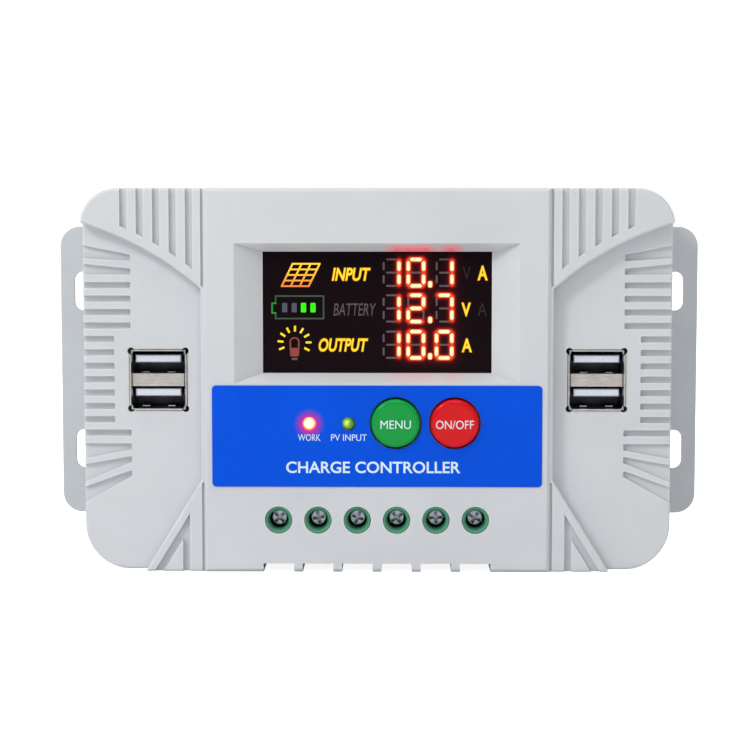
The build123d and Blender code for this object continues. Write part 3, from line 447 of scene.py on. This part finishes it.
def terminal_green():
    """Green moulding, with painted shade darkening its tubes and painted highlights paling their
    rims.
    """
    m = moulded("terminal_green", (0.050, 0.24, 0.13), rough=(0.28, 0.4))
    m.tone(2.2 * MM, (0.002, 0.018, 0.012), edge=(0.12, 0.42, 0.26))
    return m


def circuit_board():
    """Solder mask over a maze of tracks."""
    m = Maker("board_green", (0.012, 0.16, 0.055), roughness=0.25)
    cells = m.node("ShaderNodeTexBrick")
    cells.inputs["Scale"].default_value = 180
    cells.inputs["Mortar Size"].default_value = 0.035
    m.link(m.stretched((1, 0, 1)), cells.inputs["Vector"])
    patches = m.spread(m.noise(70, 1.0), 0.0, 1.0, start=0.45, end=0.5)
    tracks = m.math("MULTIPLY", cells.outputs["Fac"], patches)
    m.drive("Base Color", m.mix(tracks, m.color, (0.03, 0.27, 0.10)))
    m.relief(600, 0.01 * MM)
    return m


def copper_wire():
    """Enamelled copper wire."""
    m = steel("copper_wire", (0.62, 0.22, 0.07), rough=(0.2, 0.3))
    m.set("Coat Weight", 0.5)
    return m


def core_coating():
    """The yellow coat of a toroidal core."""
    m = Maker("ferrite_core", (0.60, 0.46, 0.06))
    m.tint(0.12, 500)
    m.gloss(0.35, 0.55, 900)
    m.relief(1500, 0.03 * MM)
    return m


def silicone_pad():
    """Soft grey insulating pad."""
    m = Maker("pad_grey", (0.33, 0.36, 0.40), roughness=0.6)
    m.tint(0.05, 300)
    m.relief(2500, 0.02 * MM)
    return m


MATERIALS = {
    "housing_plastic": housing_plastic(),
    "cover_plastic": moulded("cover_plastic", (0.66, 0.675, 0.69), rough=(0.42, 0.55)),
    "plate_metal": powder_coat(),
    "zinc_screw": zinc_screw(),
    "label_blue": label_film(),
    "film_black": display_glass(),
    "reflector_grey": moulded("reflector_grey", (0.25, 0.25, 0.26)),
    "board_green": circuit_board(),
    "solder": steel("solder", (0.66, 0.66, 0.65), grain=(400, 400, 400)),
    "button_green": glossy("button_green", (0.0, 0.37, 0.055)),
    "button_red": glossy("button_red", (0.74, 0.002, 0.006)),
    "switch_black": moulded("switch_black", (0.02, 0.02, 0.02)),
    "switch_steel": steel("switch_steel", (0.60, 0.60, 0.59)),
    "led_red": work_light(),
    "led_green": solar_light(),
    "spacer_black": moulded("spacer_black", (0.03, 0.03, 0.03)),
    "terminal_green": terminal_green(),
    "clamp_steel": steel("clamp_steel", (0.62, 0.62, 0.60)),
    "contact_brass": steel("contact_brass", (0.72, 0.56, 0.30)),
    "usb_nickel": usb_nickel(),
    "usb_white": usb_white(),
    "usb_gold": steel("usb_gold", (0.80, 0.58, 0.22)),
    "aluminium": steel("aluminium", (0.72, 0.73, 0.74)),
    "pad_grey": silicone_pad(),
    "epoxy_black": moulded("epoxy_black", (0.018, 0.018, 0.02), rough=(0.4, 0.6)),
    "can_sleeve": glossy("can_sleeve", (0.012, 0.012, 0.018)),
    "ferrite_core": core_coating(),
    "copper_wire": copper_wire(),
    "shunt_alloy": steel("shunt_alloy", (0.48, 0.31, 0.22)),
    "relay_black": glossy("relay_black", (0.02, 0.02, 0.025)),
    "print_white": printed("print_white", (0.74, 0.93, 1.0)),
    "segment_lit": lit("segment_lit", (1.0, 0.93, 0.55), 1.05),
    "segment_rim": lit("segment_rim", (1.0, 0.38, 0.08), 0.9),
    "icon_amber": lit("icon_amber", (1.0, 0.72, 0.03), 1.0),
    "icon_rim": lit("icon_rim", (0.80, 0.24, 0.01), 0.50),
    "icon_green": lit("icon_green", (0.04, 1.0, 0.01), 0.95),
    "outline_green": lit("outline_green", (0.10, 0.17, 0.11), 0.35),
    "nub_green": lit("nub_green", (0.02, 0.42, 0.07), 0.6),
    "panel_light": panel_light(),
    "segment_dark": printed("segment_dark", (0.125, 0.105, 0.112)),
    "cell_dark": printed("cell_dark", (0.10, 0.105, 0.14)),
    "unit_dark": printed("unit_dark", (0.035, 0.028, 0.032)),
    "bulb_red": lit("bulb_red", (0.46, 0.10, 0.07), 0.45),
    "housing_sign": moulded("housing_sign", HOUSING_GREY, edge=0),
}


def finish_nodes():
    """Every CAD node gets its slot's material."""
    for entry in frame["record"]["subparts"]:
        mesh = frame["nodes"][entry["node"]].data
        mesh.materials.clear()
        mesh.materials.append(MATERIALS[entry["material_slot"]].material)


# ---------------------------------------------------------------- mesh helpers for new pieces

LIFT = 0.0003 * MM       # keeps outlines that cross in one piece from being level
WELD = 1e-7


def piece(name, mesh, slot, body="case"):
    """A new visible piece that rides on a body."""
    made = bpy.data.objects.new(name, mesh)
    bpy.context.scene.collection.objects.link(made)
    mesh.materials.clear()
    mesh.materials.append(MATERIALS[slot].material)
    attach(made, body)
    return made


def prisms(name, outlines, rear, front, slot, body="case"):
    """Closed flat shapes, given as (X, Z) outlines, from rear to front along Y.

    Each stands a hair lower than the one before, so that no two fronts that cross are level.
    """
    bm = bmesh.new()
    for number, outline in enumerate(outlines):
        face = front + number * LIFT
        area = sum(a[0] * b[1] - b[0] * a[1] for a, b in zip(outline, outline[1:] + outline[:1]))
        ring = outline if area > 0 else outline[::-1]
        back = [bm.verts.new((x, rear, z)) for x, z in ring]
        fore = [bm.verts.new((x, face, z)) for x, z in ring]
        bm.faces.new(fore)
        bm.faces.new(back[::-1])
        for i in range(len(ring)):
            j = (i + 1) % len(ring)
            bm.faces.new((fore[i], back[i], back[j], fore[j]))
    bmesh.ops.recalc_face_normals(bm, faces=bm.faces)
    mesh = bpy.data.meshes.new(name)
    bm.to_mesh(mesh)
    bm.free()
    return piece(name, mesh, slot, body)


def lettering(name, words, centre, size, rear, front, slot, body="case", slant=0.0, bold=0.02):
    """Words as solid letters that fill a box of the given width and height."""
    curve = bpy.data.curves.new(name, "FONT")
    curve.body = words
    curve.extrude = 0.5
    curve.offset = bold
    curve.shear = slant
    curve.resolution_u = 4
    text = bpy.data.objects.new(name + "_text", curve)
    bpy.context.scene.collection.objects.link(text)
    bpy.context.view_layer.update()
    mesh = bpy.data.meshes.new_from_object(text)
    bpy.data.objects.remove(text)
    bpy.data.curves.remove(curve)
    xs = [v.co.x for v in mesh.vertices]
    ys = [v.co.y for v in mesh.vertices]
    wide, tall = max(xs) - min(xs), max(ys) - min(ys)
    left, low = min(xs), min(ys)
    for v in mesh.vertices:
        x = centre[0] + ((v.co.x - left) / wide - 0.5) * size[0]
        z = centre[1] + ((v.co.y - low) / tall - 0.5) * size[1]
        v.co = (x, front if v.co.z > 0 else rear, z)
    bm = bmesh.new()
    bm.from_mesh(mesh)
    bmesh.ops.remove_doubles(bm, verts=bm.verts, dist=WELD)
    bmesh.ops.recalc_face_normals(bm, faces=bm.faces)
    bm.to_mesh(mesh)
    bm.free()
    return piece(name, mesh, slot, body)


def rectangle(x, z, wide, tall):
    return [(x - wide / 2, z - tall / 2), (x + wide / 2, z - tall / 2),
            (x + wide / 2, z + tall / 2), (x - wide / 2, z + tall / 2)]


def rounded(x, z, wide, tall, radius, steps=6):
    """A rectangle with round corners."""
    points = []
    for quarter, (sx, sz) in enumerate(((1, 1), (-1, 1), (-1, -1), (1, -1))):
        cx, cz = x + sx * (wide / 2 - radius), z + sz * (tall / 2 - radius)
        for i in range(steps + 1):
            angle = (quarter + i / steps) * math.pi / 2
            points.append((cx + radius * math.cos(angle), cz + radius * math.sin(angle)))
    return points


def stroke(start, end, width):
    """A straight line of a given width."""
    a, b = Vector(start), Vector(end)
    side = (b - a).normalized() * width / 2
    normal = Vector((-side.y, side.x))
    return [tuple(p) for p in (a - normal, b - normal, b + normal, a + normal)]


def ring(x, z, outer, inner, steps=28, start=0.0, turn=360.0):
    """A ring or an arc, as a run of short quads that overlap a little."""
    made = []
    for i in range(steps):
        a = math.radians(start + turn * i / steps)
        b = math.radians(start + turn * (i + 1.02) / steps)
        made.append([(x + r * math.cos(t), z + r * math.sin(t))
                     for r, t in ((inner, a), (outer, a), (outer, b), (inner, b))])
    return made


# ---------------------------------------------------------------- the display

# Places and sizes on the display are in millimetres from its centre.
PRINT_T = 0.04 * MM
RIM_SHARE = 0.75         # a rim's height against that of what it surrounds
ROWS = [9.62, 0.98, -7.84]
DIGIT_XS = [3.40, 9.35, 16.20]
POINT_X, POINT_DROP = 12.80, 2.80
READOUT = ["101", "127", "100"]
LIT_SEGMENTS = {"0": "abcdef", "1": "bc", "2": "abged", "7": "abc"}
SEG_X, SEG_Z = 1.85, 3.19
CORE_W, CORE_GAP = 0.72, 0.42
RIM_W, RIM_GAP = 1.06, 0.28
DARK_W, DARK_GAP = 0.46, 0.55
TAPER = 0.42

GLOW_GRID = (232, 124)
GLOW_LEFT = -4.0
GLOW_START = 0.5
CLOSE_REACH, WIDE_REACH, WIDE_SHARE = 0.20, 0.9, 0.022


def on_display(x, z):
    """A place on the display, in the row frame."""
    return DISPLAY.x + x * MM, DISPLAY.z + z * MM


def film_print(name, outlines, slot, height=1.0):
    """Flat shapes on the display's film."""
    prisms(name, outlines, FILM_FRONT, FILM_FRONT - height * PRINT_T, slot)


def film_words(name, words, place, size, slot, slant, bold, height=1.0):
    """Words on the display's film."""
    wide, tall = size
    lettering(name, words, on_display(*place), (wide * MM, tall * MM), FILM_FRONT,
              FILM_FRONT - height * PRINT_T, slot, slant=slant, bold=bold)


def segment(letter, x, z, width, gap):
    """One of the seven segments of a digit: a bar with cut corners."""
    top, bottom = z + SEG_Z, z - SEG_Z
    lines = {
        "a": ((x - SEG_X, top), (x + SEG_X, top)),
        "b": ((x + SEG_X, top), (x + SEG_X, z)),
        "c": ((x + SEG_X, z), (x + SEG_X, bottom)),
        "d": ((x - SEG_X, bottom), (x + SEG_X, bottom)),
        "e": ((x - SEG_X, z), (x - SEG_X, bottom)),
        "f": ((x - SEG_X, top), (x - SEG_X, z)),
        "g": ((x - SEG_X, z), (x + SEG_X, z)),
    }
    start, end = (Vector(p) for p in lines[letter])
    along = (end - start).normalized()
    across = Vector((-along.y, along.x)) * width / 2
    a, b = start + along * gap, end - along * gap
    taper = along * width * TAPER
    points = [a, a + across + taper, b + across - taper,
              b, b - across - taper, a - across + taper]
    return a, b, [on_display(p.x, p.y) for p in points]


def digits():
    """The lit and dark segments of the three rows, and the middle lines of the lit ones."""
    bright, rim, dark, lines = [], [], [], []
    for row, z in zip(READOUT, ROWS):
        for figure, x in zip(row, DIGIT_XS):
            for letter in "abcdefg":
                if letter in LIT_SEGMENTS[figure]:
                    a, b, shape = segment(letter, x, z, CORE_W, CORE_GAP)
                    bright.append(shape)
                    rim.append(segment(letter, x, z, RIM_W, RIM_GAP)[2])
                    lines.append((a, b))
                else:
                    dark.append(segment(letter, x, z, DARK_W, DARK_GAP)[2])
        point = (POINT_X, z - POINT_DROP)
        bright.append(rounded(*on_display(*point), 0.85 * MM, 1.35 * MM, 0.35 * MM))
        rim.append(rounded(*on_display(*point), 1.15 * MM, 1.7 * MM, 0.45 * MM))
        lines.append((Vector(point), Vector(point) + Vector((0, 0.1))))
    film_print("digits_rim", rim, "segment_rim", RIM_SHARE)
    film_print("digits_lit", bright, "segment_lit")
    film_print("digits_dark", dark, "segment_dark")
    return lines


def glow_at(x, z, lines):
    """The colour of the lit segments' light that bleeds through the film at a place."""
    close = wide = 0.0
    for a, b in lines:
        run = b - a
        t = max(0.0, min(1.0, (Vector((x, z)) - a).dot(run) / max(run.length_squared, 1e-9)))
        reach = max(0.0, (Vector((x, z)) - (a + run * t)).length - GLOW_START)
        close = max(close, math.exp(-reach / CLOSE_REACH))
        wide += WIDE_SHARE * math.exp(-reach / WIDE_REACH)
    red = min(1.0, 0.9 * close + wide)
    green = 0.06 * close ** 2 + 0.04 * wide
    blue = 0.02 * close ** 2 + 0.06 * wide
    return red, green, blue


def film(lines):
    """The display's smoked front, finely divided so that the glow can be painted on it."""
    low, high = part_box("display_film")
    across, up = GLOW_GRID
    bm = bmesh.new()
    layer = bm.loops.layers.float_color.new("glow")
    rows = [[bm.verts.new((low.x + (high.x - low.x) * i / across, low.y,
                           low.z + (high.z - low.z) * j / up))
             for i in range(across + 1)] for j in range(up + 1)]
    for j in range(up):
        for i in range(across):
            bm.faces.new((rows[j][i], rows[j][i + 1], rows[j + 1][i + 1], rows[j + 1][i]))
    glow = {}
    for row in rows:
        for v in row:
            x, z = (v.co.x - DISPLAY.x) / MM, (v.co.z - DISPLAY.z) / MM
            glow[v] = glow_at(x, z, lines) if x > GLOW_LEFT else (0.0, 0.0, 0.0)
    for face in bm.faces:
        for loop in face.loops:
            loop[layer] = (*glow[loop.vert], 1.0)
    rim = [e for e in bm.edges if e.is_boundary]
    made = bmesh.ops.extrude_edge_only(bm, edges=rim)["geom"]
    far = [v for v in made if isinstance(v, bmesh.types.BMVert)]
    for v in far:
        v.co.y = high.y
    bmesh.ops.contextual_create(bm, geom=[e for e in made if isinstance(e, bmesh.types.BMEdge)])
    bmesh.ops.recalc_face_normals(bm, faces=bm.faces)
    mesh = bpy.data.meshes.new("display_front")
    bm.to_mesh(mesh)
    bm.free()
    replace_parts(piece("display_front", mesh, "film_black"), "display_film")


def display_words():
    """The captions and units: the lit ones have a darker rim, as light through a mask has."""
    lit_words = [("caption_input", "INPUT", (-6.3, 9.20), (9.3, 3.1), 0.22),
                 ("caption_output", "OUTPUT", (-8.2, -7.90), (11.9, 3.2), 0.22),
                 ("unit_lit_1", "A", (25.45, 9.55), (2.4, 3.5), 0.0),
                 ("unit_lit_2", "V", (21.5, 0.70), (2.2, 3.3), 0.0),
                 ("unit_lit_3", "A", (21.7, -7.95), (2.4, 3.3), 0.0)]
    dark_words = [("caption_battery", "BATTERY", (-5.45, 0.72), (10.3, 2.95), 0.18),
                  ("unit_dark_1", "V", (21.6, 9.5), (1.9, 3.1), 0.0),
                  ("unit_dark_2", "A", (25.4, 0.75), (2.2, 3.1), 0.0)]
    grown = 0.25
    for name, words, place, (wide, tall), slant in lit_words:
        film_words(name + "_rim", words, place, (wide + grown, tall + grown), "icon_rim", slant,
                   bold=0.05, height=RIM_SHARE)
        film_words(name, words, place, (wide, tall), "icon_amber", slant, bold=0.018)
    for name, words, place, size, slant in dark_words:
        ink = "unit_dark" if name.startswith("unit") else "segment_dark"
        film_words(name, words, place, size, ink, slant, bold=0.0)


def panel_icon():
    """A slanted solar panel: bars of a 3 by 4 grid."""
    top, bottom, lean = 11.75, 6.35, 2.66
    left, wide = -20.45, 6.55
    rows, columns = 4, 3
    level_w, upright_w, overhang = 0.40, 0.42, 0.2
    bars = []
    for i in range(rows + 1):
        z = top + (bottom - top) * i / rows
        x = left - lean * i / rows
        bars.append(stroke(on_display(x - overhang, z), on_display(x + wide + overhang, z),
                           level_w * MM))
    for i in range(columns + 1):
        x = left + wide * i / columns
        bars.append(stroke(on_display(x, top), on_display(x - lean, bottom), upright_w * MM))
    film_print("panel_icon", bars, "panel_light")


def battery_icon():
    """A battery lying on its side, half charged."""
    left, right, top, bottom, line = -24.6, -13.0, 3.95, -1.50, 0.36
    neck_left, neck_top, neck_bottom = -25.45, 2.2, -0.15
    path = [(right, top), (right, bottom), (left, bottom), (left, neck_bottom),
            (neck_left, neck_bottom), (neck_left, neck_top), (left, neck_top), (left, top)]
    bars = []
    for a, b in zip(path, path[1:] + path[:1]):
        along = (Vector(b) - Vector(a)).normalized() * line / 2
        a, b = Vector(a) - along, Vector(b) + along
        bars.append(stroke(on_display(*a), on_display(*b), line * MM))
    film_print("battery_nub", bars[3:6], "nub_green", 1.1)
    film_print("battery_outline", bars[:3] + bars[6:], "outline_green")
    cell_xs, cell_z = (-22.4, -20.1, -17.85, -15.55), 1.15
    cells = [rounded(*on_display(x, cell_z), 1.25 * MM, 2.3 * MM, 0.25 * MM) for x in cell_xs]
    film_print("charge_bars_dark", cells[:2], "cell_dark")
    film_print("charge_bars_lit", cells[2:], "icon_green")


def bulb_icon():
    """A lamp with nine rays."""
    cx, cz = -20.05, -7.35
    ray_start, ray_end, ray_w = 2.7, 4.1, 0.5
    first_ray, last_ray, ray_step = -28, 209, 29
    rays = []
    for angle in range(first_ray, last_ray, ray_step):
        a = math.radians(angle)
        inner = (cx + ray_start * math.cos(a), cz + ray_start * math.sin(a))
        outer = (cx + ray_end * math.cos(a), cz + ray_end * math.sin(a))
        rays.append(stroke(on_display(*inner), on_display(*outer), ray_w * MM))
    film_print("bulb_rays", rays, "icon_amber")
    outline = ring(*on_display(cx, cz + 0.1), 1.25 * MM, 0.9 * MM, start=-30, turn=240)
    for side in (-1, 1):
        shoulder, neck = (cx - side * 1.05, cz - 0.4), (cx - side * 0.85, cz - 3.3)
        outline.append(stroke(on_display(*shoulder), on_display(*neck), 0.40 * MM))
    film_print("bulb_outline", outline, "bulb_red")
    foot = rounded(*on_display(cx, cz - 2.3), 1.7 * MM, 2.1 * MM, 0.4 * MM)
    film_print("bulb_base", [foot], "bulb_red", RIM_SHARE)
    tip = rounded(*on_display(cx, cz - 3.95), 1.5 * MM, 0.6 * MM, 0.25 * MM)
    film_print("bulb_tip", [tip], "segment_dark")


# ---------------------------------------------------------------- print and embossing

LABEL_INK_T = 0.02 * MM
CAPTION_SUNK, CAPTION_PROUD = 0.02 * MM, 0.008 * MM
EMBOSS_T, EMBOSS_SUNK = 0.05 * MM, 0.03 * MM


def label_print():
    """The words on the label and on the button caps."""
    on_label = (LABEL_FRONT, LABEL_FRONT - LABEL_INK_T)
    title_x, title_z, light_words_z = -0.9 * MM, -20.7 * MM, -13.5 * MM
    lettering("label_title", "CHARGE CONTROLLER", (title_x, title_z), (42.0 * MM, 2.85 * MM),
              *on_label, "print_white", bold=0.018)
    lettering("label_work", "WORK", (WORK_LED.x, light_words_z), (5.4 * MM, 1.6 * MM),
              *on_label, "print_white", bold=0.0)
    lettering("label_solar", "PV INPUT", (SOLAR_LED.x, light_words_z), (8.6 * MM, 1.6 * MM),
              *on_label, "print_white", bold=0.0)
    caption_drop, caption_tall = 0.25 * MM, 2.05 * MM
    for key, words, cap, wide in (("menu", "MENU", MENU, 7.3), ("power", "ON/OFF", POWER, 9.1)):
        top = front_of(f"{key}_button")
        lettering(f"{key}_caption", words, (cap.x, cap.z - caption_drop), (wide * MM, caption_tall),
                  top + CAPTION_SUNK, top - CAPTION_PROUD, "print_white", f"{key}_key", bold=0.0)


def emboss(name, outlines, face):
    """Flat shapes raised from a face of the housing."""
    prisms(name, outlines, face + EMBOSS_SUNK, face - EMBOSS_T, "housing_sign")


def terminal_signs():
    """Poles over the terminals, and between each pair what it is for: panel, battery, lamp."""
    z = SCREWS[0].z + 5.6 * MM
    arm, bar, line = 1.7 * MM, 0.4 * MM, 0.25 * MM
    for pair in range(3):
        plus, minus = SCREWS[2 * pair], SCREWS[2 * pair + 1]
        level = rectangle(plus.x, z, arm, bar)
        emboss(f"plus_sign_{pair + 1}", [level, rectangle(plus.x, z, bar, arm)], HOUSING_FRONT)
        emboss(f"minus_sign_{pair + 1}", [rectangle(minus.x, z, arm, bar)], HOUSING_FRONT)
    panel_x, cell_x, lamp_x = ((SCREWS[i].x + SCREWS[i + 1].x) / 2 for i in (0, 2, 4))
    grid = [rectangle(panel_x, z + k * 0.65 * MM, 2.6 * MM, line) for k in (-1, 0, 1)]
    grid += [rectangle(panel_x + k * 1.15 * MM, z, line, 1.5 * MM) for k in (-1, 0, 1)]
    emboss("panel_sign", grid, HOUSING_FRONT)
    cell = [rectangle(cell_x, z + k * 0.7 * MM, 3.0 * MM, line) for k in (-1, 1)]
    cell += [rectangle(cell_x + k * 1.38 * MM, z, line, 1.5 * MM) for k in (-1, 1)]
    cell += [rectangle(cell_x + 1.75 * MM, z, 0.3 * MM, 0.7 * MM)]
    emboss("cell_sign", cell, HOUSING_FRONT)
    lamp_shapes = ring(lamp_x, z + 0.2 * MM, 0.9 * MM, 0.65 * MM)
    lamp_shapes += [rectangle(lamp_x, z - 0.95 * MM, 0.8 * MM, 0.5 * MM)]
    emboss("lamp_sign", lamp_shapes, HOUSING_FRONT)


def socket_signs():
    """The rating below each USB socket, and the sign for direct current above it."""
    rating_drop, sign_rise, line = 10.2 * MM, 10.0 * MM, 0.35 * MM
    for side, socket in USB.items():
        lettering(f"rating_{side}", "5V 2A", (socket.x, socket.z - rating_drop),
                  (7.6 * MM, 1.9 * MM), WING_FRONT + EMBOSS_SUNK, WING_FRONT - EMBOSS_T,
                  "housing_sign")
        above = socket.z + sign_rise
        bars = [rectangle(socket.x, above + 0.45 * MM, 5.4 * MM, line)]
        bars += [rectangle(socket.x + k * 2.0 * MM, above - 0.45 * MM, 1.4 * MM, line)
                 for k in (-1, 0, 1)]
        emboss(f"direct_current_sign_{side}", bars, WING_FRONT)


# ---------------------------------------------------------------- stage, light and camera

CAMERA = Vector((6.0, -535.0, 44.4)) * MM
AIM = Vector((-0.47, -35.0, 1.63)) * MM
LENS = 100.4
SENSOR_W = 36
SURROUND, SURROUND_AHEAD = 0.55, 0.12
AHEAD_START, AHEAD_END = 0.45, 0.95
FLOOR_HALF, FLOOR_GAP = 6.0, 0.1 * MM
FLOOR_GLOW = 0.9         # added for the camera only, so that the floor reads as white
LAMPS = {                # name: place, side and power
    "key": ((-0.42, -0.50, 0.50), 0.20, 2.2),
    "front": ((0.05, -0.90, 0.62), 0.40, 0.9),
    "glint_left": ((-0.62, -0.42, 0.12), 0.03, 0.06),
    "glint_right": ((0.55, -0.50, 0.35), 0.03, 0.06),
    "top": ((0.0, -0.25, 0.75), 0.40, 1.0),
    "rear": ((0.2, 0.6, 0.5), 0.5, 1.5),
}


def stage():
    """A pale floor under the object."""
    mesh = bpy.data.meshes.new("floor")
    bm = bmesh.new()
    bmesh.ops.create_grid(bm, x_segments=1, y_segments=1, size=FLOOR_HALF)
    bm.to_mesh(mesh)
    bm.free()
    floor = bpy.data.objects.new("floor", mesh)
    floor.location.z = CAD_BOX[0].z - FLOOR_GAP
    bpy.context.scene.collection.objects.link(floor)
    made = Maker("floor_paint", (0.90, 0.90, 0.90), roughness=0.9)
    made.tint(0.01, 3)
    made.set("Emission Color", (1.0, 1.0, 1.0, 1.0))
    seen = made.node("ShaderNodeLightPath").outputs["Is Camera Ray"]
    made.drive("Emission Strength", made.math("MULTIPLY", seen, FLOOR_GLOW))
    mesh.materials.append(made.material)


def lamp(name, place, side, power):
    """A square area lamp that aims at the object."""
    data = bpy.data.lights.new(name, "AREA")
    data.shape = "RECTANGLE"
    data.size = data.size_y = side
    data.energy = power
    made = bpy.data.objects.new(name, data)
    bpy.context.scene.collection.objects.link(made)
    made.location = place
    made.rotation_euler = (-Vector(place)).to_track_quat("-Z", "Y").to_euler()


def lights():
    """A soft key from the upper left, weaker lamps, and a white surround, darker in front."""
    for name, (place, side, power) in LAMPS.items():
        lamp(name, place, side, power)
    world = bpy.data.worlds.new("studio")
    bpy.context.scene.world = world
    world.use_nodes = True
    tree = world.node_tree
    background = tree.nodes["Background"]
    background.inputs["Color"].default_value = (1, 1, 1, 1)
    ahead = tree.nodes.new("ShaderNodeVectorMath")
    ahead.operation = "DOT_PRODUCT"
    ahead.inputs[1].default_value = (0, -1, 0)
    tree.links.new(tree.nodes.new("ShaderNodeTexCoord").outputs["Generated"], ahead.inputs[0])
    around = tree.nodes.new("ShaderNodeMapRange")
    around.inputs["From Min"].default_value = AHEAD_START
    around.inputs["From Max"].default_value = AHEAD_END
    around.inputs["To Min"].default_value = SURROUND
    around.inputs["To Max"].default_value = SURROUND_AHEAD
    tree.links.new(ahead.outputs["Value"], around.inputs["Value"])
    path = tree.nodes.new("ShaderNodeLightPath")
    strength = tree.nodes.new("ShaderNodeMix")
    tree.links.new(path.outputs["Is Camera Ray"], strength.inputs["Factor"])
    tree.links.new(around.outputs["Result"], strength.inputs["A"])
    strength.inputs["B"].default_value = 1.0
    tree.links.new(strength.outputs["Result"], background.inputs["Strength"])


def camera():
    """The scene's camera, in front of the object and a little above its middle."""
    data = bpy.data.cameras.new("camera")
    data.lens = LENS
    data.sensor_width = SENSOR_W
    data.clip_start = 0.01
    made = bpy.data.objects.new("camera", data)
    bpy.context.scene.collection.objects.link(made)
    made.location = CAMERA
    made.rotation_euler = (AIM - CAMERA).to_track_quat("-Z", "Y").to_euler()
    bpy.context.scene.camera = made


camera()
stage()
lights()
bpy.context.scene.view_settings.view_transform = "Standard"
finish_nodes()
film(digits())
display_words()
panel_icon()
battery_icon()
bulb_icon()
label_print()
terminal_signs()
socket_signs()
